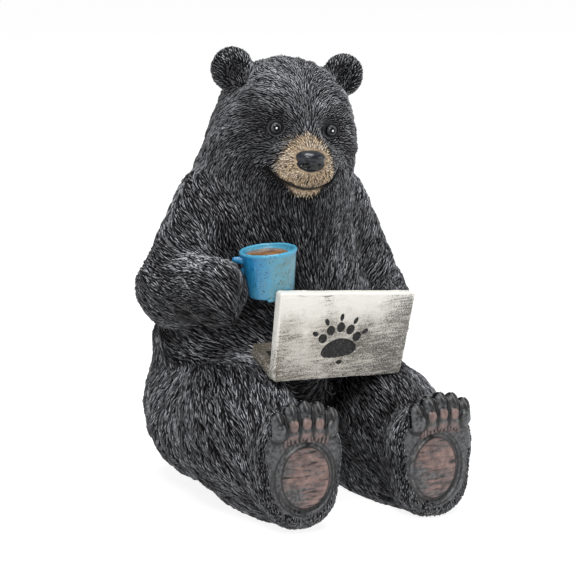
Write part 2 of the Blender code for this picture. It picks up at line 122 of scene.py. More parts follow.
# Carved locks as length, half width, height, spacing and seed: those that show from a step away, as in the
# solid, and the smaller ones between them
LARGE_LOCKS = (13.0, 3.6, 1.0, 6.5, 7)
SMALL_LOCKS = (5.5, 1.3, 0.5, 2.5, 8)
FIGURE_TALL = 149.0

# How far the locks take to rise beside bare parts, and how deep the skin lies under a finer piece
BARE_EDGE = 3.0
COVERED_DEPTH = 0.45

# The mesh of the skin
BLOCK_VOXEL = 1.7
SKIN_VOXEL = 0.55
SKIN_TRIANGLES = 150000

# The fur's strokes: how far apart they stand, how many roots are tried, how many lengths a stroke is laid in
# and how deep it stands in the skin
BODY_SPACING = 0.77
HEAD_SPACING = 0.47
MUZZLE_SPACING = 0.42
ROOT_COUNT = 330000
STROKE_STEPS = 3
STROKE_SINK = 0.12

# The finer sheets: how far apart a sole's points are, and how many spokes and rings an eyelid has
SOLE_GRID = 0.25
SPOKES = 64
SOCKET_RINGS = 20


def vector(*numbers):
    return np.array(numbers, float)


def unit_rows(rows):
    return rows / np.maximum(np.linalg.norm(rows, axis=1), 1e-6)[:, None]


def moved(place, points):
    """Rows of points taken by a place's matrix."""
    matrix = np.array(place)
    return points @ matrix[:3, :3].T + matrix[:3, 3]


def mirrored(side, place):
    """A place on the left side for 1, and its mirror image on the right side for -1."""
    return (side * place[0], *place[1:])


# Clay: the solid's lumps, with finer features

class Clay:
    """Lumps joined and carved one after another. Each has a softness: the width of its blend."""

    def __init__(self, place=None):
        self.steps = []
        self.place = place or Matrix.Identity(4)

    def ball(self, centre, radii, turn=(0, 0, 0), soft=4.0, cut=False):
        rotation = np.array(Euler([math.radians(a) for a in turn]).to_matrix())
        self.steps.append(("ball", cut, soft, (vector(*centre), vector(*radii), rotation)))

    def limb(self, start, end, start_radius, end_radius, soft=4.0, cut=False):
        shape = (vector(*start), vector(*end), start_radius, end_radius)
        self.steps.append(("limb", cut, soft, shape))

    def ring(self, centre, radii, wire, soft=0.5, cut=False):
        self.steps.append(("ring", cut, soft, (vector(*centre), vector(*radii), wire)))

    def box(self, place, low, high, soft=0.5, cut=False):
        self.steps.append(("box", cut, soft, (np.array(place.inverted()), vector(*low), vector(*high))))

    def add(self, clay, soft):
        self.steps.append(("clay", False, soft, clay))

    def distance(self, points):
        local = moved(self.place.inverted(), points)
        total = np.full(len(points), 1e3)
        for kind, cut, soft, shape in self.steps:
            if kind == "clay":
                found = shape.distance(local)
            else:
                found = DISTANCES[kind](local, *shape)
            total = -blended(-total, found, soft) if cut else blended(total, found, soft)
        return total


def ball_distance(points, centre, radii, rotation):
    local = (points - centre) @ rotation
    near = np.linalg.norm(local / radii, axis=1)
    slope = np.linalg.norm(local / radii**2, axis=1)
    return near * (near - 1.0) / np.maximum(slope, 1e-6)


def limb_distance(points, start, end, start_radius, end_radius):
    along = end - start
    share = np.clip((points - start) @ along / (along @ along), 0, 1)
    nearest = start + share[:, None] * along
    radius = start_radius + share * (end_radius - start_radius)
    return np.linalg.norm(points - nearest, axis=1) - radius


def ring_distance(points, centre, radii, wire):
    """From an upright elliptical ring that faces along Y, made of round wire."""
    local = points - centre
    flat = local[:, [0, 2]]
    near = np.maximum(np.linalg.norm(flat / radii, axis=1), 1e-3)
    gap = np.linalg.norm(flat, axis=1) * (1 - 1 / near)
    return np.hypot(gap, local[:, 1]) - wire


def box_distance(points, into_box, low, high):
    local = moved(into_box, points)
    outside = np.maximum(low - local, local - high)
    return np.linalg.norm(np.maximum(outside, 0), axis=1) + np.minimum(outside.max(axis=1), 0)


DISTANCES = {"ball": ball_distance, "limb": limb_distance, "ring": ring_distance, "box": box_distance}


def blended(a, b, soft):
    """The smaller of two distances, rounded over where they are within soft of each other."""
    overlap = np.maximum(soft - np.abs(a - b), 0) / soft
    return np.minimum(a, b) - overlap**2 * soft / 4


def torso():
    clay = Clay()
    clay.ball((0, 11, 26), (33, 31, 30))
    for side in (-1, 1):
        clay.ball((side * 21, 12, 46), (19, 20, 22), soft=10)
    clay.ball((0, 0, 54), (31, 26.5, 33), soft=12)
    clay.ball((1, 6, 84), (28, 25, 30), soft=14)
    clay.ball((1, 13, 96), (24, 20, 22), soft=12)
    clay.limb((1, 11, 98), (-0.5, 7, 113), 22, 20, soft=12)
    clay.ball((1.5, -8, 99), (15, 14, 14), soft=10)
    return clay


def arm(shoulder, elbow, wrist, radii):
    clay = Clay()
    clay.limb(shoulder, elbow, radii[0], radii[1])
    clay.limb(elbow, wrist, radii[1], radii[2], soft=3)
    return clay


def right_paw():
    clay = Clay()
    clay.ball((-37.4, -26.2, 73.8), (8.7, 8.3, 10.8))
    for row in range(4):
        height = 80.3 - 3.8 * row
        curl = (1.8, 2.3, 2.8, 3.6)[row]
        knuckle = (-38 - curl, -31 + curl, height)
        tip = (-34.2 - curl, -34.6 + curl, height - 1 + 0.4 * curl)
        clay.limb(knuckle, tip, 3.6, 2.8, soft=2.0)
    return clay


def left_paw():
    clay = Clay()
    clay.ball((20, -28, 56), (7.5, 8, 5))
    for finger in range(4):
        x = 15.5 + 3.4 * finger
        clay.limb((x, -31, 55.5), (x - 1.5, -36, 53), 2.4, 1.7, soft=1.5)
    return clay


def leg(side, reach):
    """A leg whose foot stands this far in front of the figure's middle."""
    clay = Clay()
    knee = (side * 26.5, -reach * 0.42, 23)
    clay.ball((side * 25, 7, 27), (19, 27, 24), soft=6)
    clay.limb((side * 25.5, -2, 26), knee, 19, 17.3, soft=8)
    clay.limb(knee, (side * 25, 15 - reach, 19), 17.3, 15.5, soft=8)
    clay.ball((side * 21.5, -reach * 0.42, 5), (10, reach / 2, 9), soft=6)
    if side < 0:
        clay.ball((-28, -20, 31), (17, 27, 19.5), soft=5)
    else:
        clay.ball((22, -24, 32), (12, 24, 16), soft=4)
    return clay


def foot_place(side, reach):
    across, up, turn = FEET[side][:3]
    return Matrix.Translation((across, -reach, up)) @ Matrix.Rotation(math.radians(turn), 4, "Z")


def foot(side, reach):
    clay = Clay(foot_place(side, reach))
    pad = FEET[side][3]
    clay.ball((0, 2.5, -8.2), (12.6, 11.5, 12.8))
    clay.ball((0, 2.5, 3.5), (14.0, 11.5, 13.4), soft=5)
    clay.ball((0, -204.4, 0), (200, 200, 200), soft=2, cut=True)
    clay.ball((pad, -3.2, PAD_UP), (9.0, 2.4, 11.0), soft=0.8)
    clay.ring((pad, -4.9, PAD_UP), PAD_GROOVE, 1.1, soft=0.6, cut=True)
    for x in TOES:
        top = toe_top(x)
        clay.limb((x * 0.97, -3.2, 11.5), (x, -2.6, top), 2.2, 2.2, soft=0.5)
        clay.limb((x, -2.6, top + 0.9), (x, -5.0, top - 0.6), 1.3, 0.8, soft=0.5)
    return clay


def toe_top(x):
    return 19.3 - 0.035 * x * x


def head_place():
    turn = Euler((math.radians(4), math.radians(5), math.radians(-11)))
    return Matrix.Translation((2.4, 2, 121.2)) @ turn.to_matrix().to_4x4()


def head():
    clay = Clay(head_place())
    clay.ball((0, 1, 3), (22.3, 22, 20.8))
    clay.ball((0, -7, 6), (16, 12.5, 12), soft=8)
    for side in (-1, 1):
        clay.ball((side * 12, -5, -7), (11, 13, 12), soft=9)
    clay.ball((0, -4, -12), (15, 14, 9), soft=8)
    clay.limb((0, -10, 1), (0, -22, -3.5), 10, 7.0, soft=9)
    clay.ball((0, -17.5, -8.5), (10.5, 12.5, 8.2), soft=9)
    for side in (-1, 1):
        clay.ball((side * 3.6, -23, -9.8), (5.6, 6.6, 5.2), soft=4)
    clay.ball((0, -18.5, -15.2), (7, 9.5, 4.2), soft=3)
    for side in (-1, 1):
        half = [mirrored(side, place) for place in MOUTH]
        for start, end in zip(half, half[1:]):
            clay.limb(start, end, 0.6, 0.6, soft=0.8, cut=True)
    clay.limb((0, -32.6, -8.0), (0, -29.9, -14), 0.8, 0.6, soft=0.6, cut=True)
    for side, eye in EYES:
        clay.ball(eye + Vector((side * 0.2, -4.1, -0.2)), (4.8, 3.4, 4.2), soft=4, cut=True)
        clay.ball((side * 19.6, 1.5, 19.1), (7.0, 3.8, 7.2), turn=(0, side * 12, 0), soft=3)
        hollow, radii = EAR_HOLLOW
        clay.ball(mirrored(side, hollow), radii, turn=(0, side * 12, 0), soft=0.8, cut=True)
    return clay


def nose():
    """The nose's leather: a broad top over a narrower front, with a wing round each nostril."""
    clay = Clay(head_place())
    clay.ball((0, -29.6, -3.6), (5.0, 4.0, 2.3))
    clay.ball((0, -29.6, -6.3), (4.1, 3.5, 2.4), soft=1.0)
    for side in (-1, 1):
        clay.ball((side * 3.0, -29.6, -5.6), (1.9, 2.9, 2.0), soft=0.8)
        clay.ball((side * 2.15, -33.4, -6.2), (1.35, 2.4, 0.95), turn=(0, side * 20, 0), soft=0.3, cut=True)
        inner, outer = (mirrored(side, place) for place in NOSTRIL_SLIT)
        clay.limb(inner, outer, 0.65, 0.4, soft=0.3, cut=True)
    clay.limb((0, -33.9, -6.6), (0, -32.6, -9.4), 0.45, 0.4, soft=0.3, cut=True)
    return clay


def laptop_room():
    """The space that the laptop takes from the fur around it, with the gap of its glue."""
    clay = Clay()
    gap = JOINT_GAP
    drop = DECK_THICKNESS * math.cos(DECK_RISE)
    half = LID_WIDTH / 2 + gap
    thick = LID_THICKNESS / 2 + gap
    clay.box(lid_place(), (-half, -thick, -drop - gap), (half, thick, LID_HEIGHT - drop + gap))
    half = LID_FOOT_WIDTH / 2
    clay.box(deck_place(), (-half, -gap, -gap), (half, DECK_THICKNESS + gap, DECK_DEPTH + gap))
    return clay


def hinge_place():
    return Matrix.Translation(HINGE) @ Matrix.Rotation(LAPTOP_ROLL, 4, "Y")


def lid_place():
    """The lid's own frame: X along the hinge, Z up the lid, and its outer face towards -Y."""
    return hinge_place() @ Matrix.Rotation(LID_LEAN, 4, "X")


def deck_place():
    """The deck's own frame: X along the hinge, Z back over the deck, and its keys towards -Y."""
    return hinge_place() @ Matrix.Rotation(DECK_RISE - math.pi / 2, 4, "X")


def mug_place():
    return Matrix.Translation(MUG_PLACE) @ Matrix.Rotation(-MUG_TILT, 4, "Y")


def bear_clay():
    clay = Clay()
    clay.add(torso(), 0.1)
    for side, reach in LEGS:
        clay.add(leg(side, reach), 3.5)
        clay.add(foot(side, reach), 5)
    clay.add(arm(*RIGHT_ARM), 3.5)
    clay.add(arm(*LEFT_ARM), 3.5)
    clay.add(right_paw(), 3)
    clay.add(left_paw(), 3)
    clay.add(head(), 6)
    for kind, cut, soft, shape in laptop_room().steps:
        clay.steps.append((kind, True, soft, shape))
    held_low, held_high = (mug_place() @ Vector((0, 0, height)) for height in (7, 9))
    clay.limb(held_low, held_high, FOOT_RADIUS, RIM_RADIUS, soft=0.5, cut=True)
    return clay


def bare_clay():
    """What has no carved locks: the face, the hollows of the ears, the soles and the toes."""
    clay = Clay()
    face = Clay(head_place())
    face.ball((0, -27, -8), (15, 15, 14))
    for side, eye in EYES:
        face.ball(eye - Vector((0, 2.6, 0.6)), (6, 6, 5.5), soft=0.1)
        face.ball((side * 19.8, -1, 19.5), (8.2, 6, 8.2), soft=0.1)
    clay.add(face, 0.1)
    for side, reach in LEGS:
        sole = Clay(foot_place(side, reach))
        sole.ball((0, -7, 2), (15, 10, 26))
        clay.add(sole, 0.1)
    return clay


# The way the fur lies

def torso_way(points):
    """Down, in towards the middle of the chest, and round the flanks to the lap."""
    way = np.zeros_like(points)
    front = np.clip(-points[:, 1] / 20, 0, 1)
    way[:, 0] = -points[:, 0] / 18 * front
    way[:, 2] = -1
    low = np.clip((68 - points[:, 2]) / 14, 0, 1) * np.clip((14 - points[:, 1]) / 10, 0, 1)
    to_lap = unit_rows(vector(5, -34, 42) - points)
    return unit_rows(way) * (1 - low)[:, None] + to_lap * low[:, None]


def arm_ways(arm_points, side):
    """How fur lies on the upper arm, in and down, and on the forearm, fanning out from the elbow."""
    shoulder, elbow, wrist = (vector(*joint) for joint in arm_points[:3])

    def upper_way(points):
        down = (elbow - shoulder) / np.linalg.norm(elbow - shoulder)
        return np.repeat((down + vector(-side * 1.2, -0.3, 0))[None], len(points), 0)

    def fore_way(points):
        length = np.linalg.norm(wrist - elbow)
        along = (wrist - elbow) / length
        share = (points - elbow) @ along / length
        outward = unit_rows(points - elbow - (share * length)[:, None] * along)
        fan = 0.8 * np.clip(1 - share / 0.7, 0, 1)
        return along + outward * fan[:, None]

    return upper_way, fore_way


def leg_way(points, side):
    """Out from the top of the thigh, and forward along the underside to the foot."""
    way = unit_rows(points - vector(side * 22, -10, 46))
    way[:, 1] -= np.clip((26 - points[:, 2]) / 26, 0, 1)
    return way


def foot_way(points):
    """Straight down."""
    return np.repeat(vector(0, 0, -1)[None], len(points), 0)


def in_head(points):
    """World points in the head's own frame."""
    return moved(head_place().inverted(), points)


def in_foot(points, side, reach):
    """World points in a foot's own frame."""
    return moved(foot_place(side, reach).inverted(), points)


def head_way(points):
    """Away from the nose, parting over the brow, and down the neck."""
    local = in_head(points)
    away = local - vector(0, -32, -5)
    way = unit_rows(away)
    brow = np.clip((local[:, 2] - 4) / 12, 0, 1)
    way[:, 0] += 0.55 * brow * np.tanh(local[:, 0] / 9)
    way = way @ np.array(head_place())[:3, :3].T
    way[:, 2] -= np.linalg.norm(away, axis=1) / 55
    return way


def ear_clay(side):
    clay = Clay(head_place())
    clay.ball((side * 19.6, 1.5, 20), (6.5, 3.6, 6.5), turn=(0, side * 12, 0))
    return clay


def ear_way(points, side):
    """Outwards from the foot of the ear, over its rim."""
    foot_of_ear = np.array(head_place() @ Vector((side * 17.5, -3, 14)))
    return points - foot_of_ear


def fur_regions():
    """Each region's name, its clay, how its fur lies as a function of points, and how strongly it counts."""
    regions = [("torso", torso(), torso_way, 1), ("head", head(), head_way, 1)]
    for side, joints in ((-1, RIGHT_ARM), (1, LEFT_ARM)):
        shoulder, elbow, wrist, radii = joints
        upper_way, fore_way = arm_ways(joints, side)
        for start, end, share, way in ((shoulder, elbow, 0, upper_way), (elbow, wrist, 1, fore_way)):
            sleeve = Clay()
            sleeve.limb(start, end, radii[share], radii[share + 1])
            regions.append(("arms", sleeve, way, 1))
        regions.append(("head", ear_clay(side), lambda points, s=side: ear_way(points, s), 4))
    for side, reach in LEGS:
        regions.append(("legs", leg(side, reach), lambda points, s=side: leg_way(points, s), 1))
        regions.append(("legs", foot(side, reach), foot_way, 1))
    return regions


# Where the fur lies another way than its region's: the place, the way, and how far it reaches
COMBED = (
    ((-33, -12, 58), (0.80, -0.45, -0.35), 11),
    ((-38, 4, 58), (0.75, -0.55, -0.25), 11),
    ((-20, -22, 56), (0.70, -0.40, -0.55), 9),
    ((-29, -9, 92), (-0.50, 0.28, -0.82), 4),
    ((-37, -33, 76), (0.45, -0.30, -0.85), 7),
    ((-36, -33, 68), (0.45, -0.30, -0.85), 7))

# Where the dry-brushing went over more or less often, and where painted highlight and painted shade are
# laid: the place, how far it reaches, and how much more
BRUSH_HIGHLIGHT_AND_SHADE_SPOTS = (
    ((-40, -13, 82), 11, 0.75),
    ((-38, -14, 63), 12, -0.75),
    ((-33, -32, 65), 6, -0.60),
    ((-34, -34, 76), 8, -0.30),
    ((-23, -16, 53), 9, 1.1),
    ((-34, -4, 52), 10, 1.1),
    ((-14.9, -16.8, 113.3), 1.8, 0.6),
    ((0, -6, 141), 16, 0.15),
    ((2, -20, 128), 10, 0.30),
    ((23, -6, 124), 12, 0.40),
    ((0, -26, 88), 14, -0.20),
    ((-8, -20, 62), 12, -0.15),
    ((16, -42, 30), 16, -0.20),
    ((-24, -30, 46), 16, 0.20))


def fur_way(points, normals):
    """The way the fur lies at each point, mixed from the regions near it, and the nearest one's name."""
    regions = fur_regions()
    nearness = np.array([pull * np.exp(-clay.distance(points) / 3) for name, clay, way, pull in regions])
    ways = [unit_rows(way(points)) for name, clay, way, pull in regions]
    total = unit_rows(sum(near[:, None] * way for near, way in zip(nearness, ways)))
    for place, way, reach in COMBED:
        near = np.exp(-((points - vector(*place)) ** 2).sum(axis=1) / reach**2)
        total += 3 * near[:, None] * vector(*way)
    total -= (total * normals).sum(axis=1)[:, None] * normals
    names = np.array([name for name, clay, way, pull in regions])
    return unit_rows(total), names[nearness.argmax(axis=0)]


# Blender helpers

def select_only(item):
    bpy.ops.object.select_all(action="DESELECT")
    item.select_set(True)
    bpy.context.view_layer.objects.active = item


def apply_modifiers(item):
    select_only(item)
    for modifier in list(item.modifiers):
        bpy.ops.object.modifier_apply(modifier=modifier.name)


def points_of(mesh):
    points = np.empty(len(mesh.vertices) * 3, np.float32)
    mesh.vertices.foreach_get("co", points)
    return points.reshape(-1, 3).astype(float)


def normals_of(mesh):
    normals = np.empty(len(mesh.vertices) * 3, np.float32)
    mesh.vertex_normals.foreach_get("vector", normals)
    return normals.reshape(-1, 3).astype(float)


def set_points(mesh, points):
    mesh.vertices.foreach_set("co", points.ravel())
    mesh.update()


def mark(mesh, name, values):
    """Keeps one number per point for the finishes to read."""
    mesh.attributes.new(name, "FLOAT", "POINT").data.foreach_set("value", np.asarray(values, np.float32))


def new_piece(name, mesh):
    item = bpy.data.objects.new(name, mesh)
    bpy.context.scene.collection.objects.link(item)
    return item


def finish_piece(item, finish, replaced=None):
    """Brings a piece to metres, paints it, and lets it ride on the figure."""
    item.data.transform(Matrix.Scale(MM, 4))
    item.data.materials.clear()
    item.data.materials.append(finish)
    item.data.shade_smooth()
    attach(item, "root")
    if replaced:
        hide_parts(replaced)
    return item


# The skin

def lumps_of(clay, place, collected):
    """Blender primitives in place of the lumps that add material."""
    here = place @ clay.place
    for kind, cut, soft, shape in clay.steps:
        if cut:
            continue
        if kind == "clay":
            lumps_of(shape, here, collected)
            continue
        if kind == "ball":
            centre, radii, rotation = shape
            bpy.ops.mesh.primitive_ico_sphere_add(subdivisions=4, radius=1)
            turn = Matrix(rotation.tolist()).to_4x4()
            matrix = Matrix.Translation(centre) @ turn @ Matrix.Diagonal((*radii, 1))
        else:
            start, end, start_radius, end_radius = shape
            along = Vector(end - start)
            bpy.ops.mesh.primitive_cone_add(
                vertices=24, radius1=start_radius, radius2=end_radius, depth=along.length)
            turn = along.to_track_quat("Z", "Y").to_matrix().to_4x4()
            matrix = Matrix.Translation(Vector((start + end) / 2)) @ turn
        item = bpy.context.object
        item.data.transform(here @ matrix)
        collected.append(item)
        if kind == "limb":
            for centre, radius in ((start, start_radius), (end, end_radius)):
                bpy.ops.mesh.primitive_ico_sphere_add(subdivisions=4, radius=radius)
                bpy.context.object.data.transform(here @ Matrix.Translation(Vector(centre)))
                collected.append(bpy.context.object)


def onto_surface(clay, points, rounds=5):
    """Moves each point along the steepest way until it lies on the clay's surface."""
    step = 0.05
    for _ in range(rounds):
        here = clay.distance(points)
        slope = np.empty_like(points)
        for axis in range(3):
            shifted = points.copy()
            shifted[:, axis] += step
            slope[:, axis] = (clay.distance(shifted) - here) / step
        steepness = np.maximum((slope**2).sum(axis=1), 0.2)
        points = points - slope * (here / steepness)[:, None]
    return points, slope / np.sqrt(steepness)[:, None]


def remeshed(item, voxel):
    remesh = item.modifiers.new("Even skin", "REMESH")
    remesh.mode = "VOXEL"
    remesh.voxel_size = voxel
    apply_modifiers(item)


def tree_of(points):
    tree = KDTree(len(points))
    for index, point in enumerate(points):
        tree.insert(point, index)
    tree.balance()
    return tree


def spaced(points, gaps):
    """Which points to keep, so that none is nearer to another than its gap."""
    tree = tree_of(points)
    free = np.ones(len(points), bool)
    kept = []
    for index, point in enumerate(points):
        if free[index]:
            kept.append(index)
            free[[near for where, near, gap in tree.find_range(point, gaps[index])]] = False
    return np.array(kept)


def lock_roots(clay, spacing, seed):
    """Points spread over the skin, this far apart."""
    random = np.random.default_rng(seed)
    count = int(60000 * max(1, (6.5 / spacing) ** 2 / 2))
    spread = random.uniform((-60, -75, 0), (60, 50, FIGURE_TALL), (count, 3))
    shell = spread[np.abs(clay.distance(spread)) < 4]
    points, normals = onto_surface(clay, shell, rounds=3)
    kept = spaced(points, np.full(len(points), spacing))
    return points[kept], normals[kept]


def lock_rise(points, clay, length, half_width, spacing, seed):
    """From 0 between the locks to 1 on their crests. A lock rises from its root to its tip, then drops."""
    roots, normals = lock_roots(clay, spacing, seed)
    ways = fur_way(roots, normals)[0]
    tree = tree_of(points)
    rise = np.zeros(len(points))
    for root, normal, way in zip(roots, normals, ways):
        near = np.array([index for where, index, gap in tree.find_range(root, length * 0.6)], int)
        if len(near) == 0:
            continue
        offset = points[near] - root
        along = offset @ way / length + 0.5
        inside = (along > 0) & (along < 1)
        near = near[inside]
        along = along[inside]
        across = np.abs(offset[inside] @ np.cross(normal, way)) / (half_width * np.sqrt(1 - along**3))
        own = (0.3 + 0.7 * along) * np.minimum(1, (1 - along) / 0.25) * np.maximum(1 - across**2, 0)
        rise[near] = np.maximum(rise[near], own)
    return rise


def covered(points):
    """1 where a finer piece lies over the skin: on the soles and round the eyes."""
    share = np.zeros(len(points))
    for side, reach in LEGS:
        share = np.maximum(share, on_sole(points, side, reach))
    local = in_head(points)
    for side, eye in EYES:
        away = np.hypot(local[:, 0] - eye.x, (local[:, 2] - eye.z) / EYE_OPENING)
        share = np.maximum(share, np.clip((2.75 - away) / 0.6, 0, 1) * (local[:, 1] < -10))
    return share


def on_sole(points, side, reach):
    """1 on a foot's bare sole and toes, 0 on its fur."""
    x, y, z = in_foot(points, side, reach).T
    heel = 1 - np.hypot((x + 0.7) / 11.3, (z + 1.9) / 13.8)
    toes = np.minimum(1 - np.abs(x) / 12.6, (z - 2) / 12)
    inside = np.maximum(heel, toes)
    return np.clip(inside / 0.06, 0, 1) * np.clip((-1.6 - y) / 0.8, 0, 1)


def make_skin():
    """The whole bear without its fine fur. Returns the object, still in millimetres."""
    clay = bear_clay()
    lumps = []
    lumps_of(clay, Matrix.Identity(4), lumps)
    skin = joined("bear_skin", lumps)
    for voxel in (BLOCK_VOXEL, SKIN_VOXEL):
        remeshed(skin, voxel)
        points, normals = onto_surface(clay, points_of(skin.data), rounds=3)
        set_points(skin.data, points)
    furry = np.clip(bare_clay().distance(points) / BARE_EDGE, 0, 1) * np.clip(points[:, 2] / BARE_EDGE, 0, 1)
    settled = points.copy()
    rises = []
    for length, half_width, height, spacing, seed in (LARGE_LOCKS, SMALL_LOCKS):
        rise = lock_rise(settled, clay, length, half_width, spacing, seed)
        points += normals * (height * (rise - 0.35) * furry)[:, None]
        rises.append(rise)
    points -= normals * (COVERED_DEPTH * covered(points))[:, None]
    points[:, 2] = np.maximum(points[:, 2], 0)
    set_points(skin.data, points)
    thin_out(skin, points)
    tree = tree_of(points)
    nearest = [tree.find(point)[1] for point in points_of(skin.data)]
    crests = (rises[0] * 0.35 + rises[1] * 0.65) * furry + 0.35 * (1 - furry)
    mark(skin.data, "rise", crests[nearest])
    return skin


def thin_out(skin, points):
    """Leaves the skin the wanted number of triangles, with more of them kept near its bare parts."""
    bare = skin.vertex_groups.new(name="bare")
    near_bare = np.clip(1.5 - bare_clay().distance(points) / BARE_EDGE, 0, 1) * 0.5
    for index in np.flatnonzero(near_bare > 0):
        bare.add([int(index)], float(near_bare[index]), "REPLACE")
    fewer = skin.modifiers.new("Fewer faces", "DECIMATE")
    fewer.vertex_group = "bare"
    fewer.invert_vertex_group = True
    fewer.vertex_group_factor = 1.0
    fewer.ratio = SKIN_TRIANGLES / sum(len(polygon.vertices) - 2 for polygon in skin.data.polygons)
    skin.modifiers.new("Triangles", "TRIANGULATE")
    apply_modifiers(skin)


# Strokes of fur

def cloud(points, size, seed):
    """Smooth noise from -1 to 1 with features of the given size."""
    shift = Vector((seed * 17.3, seed * 5.1, seed * 9.7))
    return np.array([noise.noise(Vector(point) / size + shift) for point in points])


def stroke_stations(tree, face_ways, roots, ways, lengths):
    """Points along each stroke, laid on the skin along the way of the fur, with the skin's normals there."""
    where = [roots]
    upright = []
    current = roots
    heading = ways
    for step in range(STROKE_STEPS + 1):
        found = [tree.find_nearest(point) for point in current]
        on_skin = np.array([hit[0] for hit in found])
        normal = np.array([hit[1] for hit in found])
        faces = np.array([hit[2] for hit in found])
        where[-1] = on_skin
        upright.append(normal)
        if step == STROKE_STEPS:
            break
        heading = unit_rows(0.55 * heading + 0.45 * face_ways[faces])
        heading = unit_rows(heading - (heading * normal).sum(axis=1)[:, None] * normal)
        current = on_skin + heading * (lengths / STROKE_STEPS)[:, None]
        where.append(current)
    return np.array(where), np.array(upright)


def stroke_mesh(name, stations, upright, widths, heights, marks):
    """Closed slivers: a point at the root and the tip, and two triangular sections between them."""
    count = stations.shape[1]
    forward = np.gradient(stations, axis=0)
    sideways = np.cross(upright, forward)
    sideways /= np.maximum(np.linalg.norm(sideways, axis=2), 1e-6)[:, :, None]
    half = widths[:, None] / 2
    tall = heights[:, None]
    rows = [stations[0] - upright[0] * STROKE_SINK]
    for place, wide, high in ((1, 1.0, 0.85), (2, 0.85, 1.0)):
        base = stations[place] - upright[place] * STROKE_SINK
        rows.append(base - sideways[place] * half * wide)
        rows.append(base + sideways[place] * half * wide)
        rows.append(stations[place] + upright[place] * tall * high)
    rows.append(stations[3] + upright[3] * tall * 0.15)
    points = np.stack(rows, axis=1).reshape(-1, 3)
    corners = np.array((
        (0, 1, 3), (0, 3, 2), (0, 2, 1),
        (1, 4, 6), (1, 6, 3), (3, 6, 5), (3, 5, 2), (2, 5, 4), (2, 4, 1),
        (4, 7, 6), (6, 7, 5), (5, 7, 4)))
    faces = (np.arange(count)[:, None, None] * len(rows) + corners[None]).reshape(-1, 3)
    mesh = bpy.data.meshes.new(name)
    mesh.vertices.add(len(points))
    mesh.vertices.foreach_set("co", points.ravel())
    mesh.loops.add(faces.size)
    mesh.loops.foreach_set("vertex_index", faces.ravel())
    mesh.polygons.add(len(faces))
    mesh.polygons.foreach_set("loop_start", np.arange(0, faces.size, 3))
    mesh.update(calc_edges=True)
    mark(mesh, "crest", np.tile((0.0, 0, 0, 1, 0, 0, 1, 0.6), count))
    for label, values in marks.items():
        mark(mesh, label, np.repeat(values, len(rows)))
    return mesh


# Half the width of the tan muzzle at each height, in the head's own frame
TAN_LEVELS = (-17.0, -16.4, -15.2, -13.8, -12.6, -11.6, -9, -6, -4, -2, 0, 2, 3.2)
TAN_WIDTHS = (0, 3, 4.6, 5.2, 7.0, 8.4, 9.4, 8.9, 8.0, 6.8, 5.2, 3.4, 0)


def tan_share(points):
    """1 on the muzzle's tan mask, 0 off it."""
    local = in_head(points)
    half = np.interp(local[:, 2], TAN_LEVELS, TAN_WIDTHS)
    middle = np.interp(local[:, 2], (-13, -8, 2), (-0.2, -0.8, -0.6))
    inside = half - np.abs(local[:, 0] - middle)
    thin = np.clip(1 - (local[:, 2] + 3) / 13, 0.5, 1)
    return np.clip(0.5 + inside / 1.6, 0, 1) * np.clip((-18 - local[:, 1]) / 2, 0, 1) * (half > 0) * thin


def mouth_share(points, reach=0.5):
    """1 in the groove of the mouth, 0 away from it."""
    local = in_head(points)
    in_front = np.clip((-19 - local[:, 1]) / 2, 0, 1)
    flat = np.abs(local) * (1, 0, 0) + local * (0, 0, 1)
    near = np.full(len(points), 1e3)
    line = [vector(x, 0, z) for x, y, z in MOUTH]
    for start, end in zip(line, line[1:]):
        near = np.minimum(near, limb_distance(flat, start, end, 0, 0))
    return np.clip(1.5 - near / reach, 0, 1) * in_front


def openness(points, normals, clay):
    """From 0 deep in a fold to 1 in the open, judged by the free space above each point."""
    closed = np.zeros(len(points))
    for height in (4.0, 10.0, 22.0):
        free = clay.distance(points + normals * height)
        closed += (1 - np.clip(free / height, 0, 1)) / 3
    return np.clip(1 - 1.5 * closed, 0, 1)


def near_eye(points):
    """1 at the eyes, 0 from 6.5 mm away."""
    local = in_head(points)
    share = np.zeros(len(points))
    for side, eye in EYES:
        away = np.linalg.norm(local - vector(*eye) + vector(0, 2, 0), axis=1)
        share = np.maximum(share, np.clip((6.5 - away) / 3, 0, 1))
    return share


def head_share(points):
    """1 on the head, 0 from its neck on."""
    away = np.linalg.norm(in_head(points) - vector(0, -8, 0), axis=1)
    return np.clip(1.3 - away / 30, 0, 1)


def crown_share(points):
    """1 on the brow and the crown, whose fur is finest. It takes a lighter underpaint and weaker
    dry-brushing.
    """
    return head_share(points) * np.clip((in_head(points)[:, 2] + 2) / 10, 0, 1)


def scatter(skin):
    """Seeded roots on the skin and their faces, with each face's way and region, and the skin as a tree."""
    mesh = skin.data
    points = points_of(mesh)
    normals = normals_of(mesh)
    ways, names = fur_way(points, normals)
    faces = np.empty(len(mesh.polygons) * 3, np.int32)
    mesh.polygons.foreach_get("vertices", faces)
    faces = faces.reshape(-1, 3)
    corners = points[faces]
    first, second, third = corners[:, 0], corners[:, 1], corners[:, 2]
    area = np.linalg.norm(np.cross(second - first, third - first), axis=1) / 2
    random = np.random.default_rng(11)
    crowd = area * np.where(np.linalg.norm(in_head(first), axis=1) < 32, 3.0, 1)
    picked = random.choice(len(faces), ROOT_COUNT, p=crowd / crowd.sum())
    shares = random.dirichlet((1, 1, 1), len(picked))
    roots = (corners[picked] * shares[:, :, None]).sum(axis=1)
    face_ways = unit_rows(ways[faces].sum(axis=1))
    tree = BVHTree.FromPolygons([tuple(point) for point in points], faces.tolist())
    return roots, picked, face_ways, names[faces[:, 0]], tree


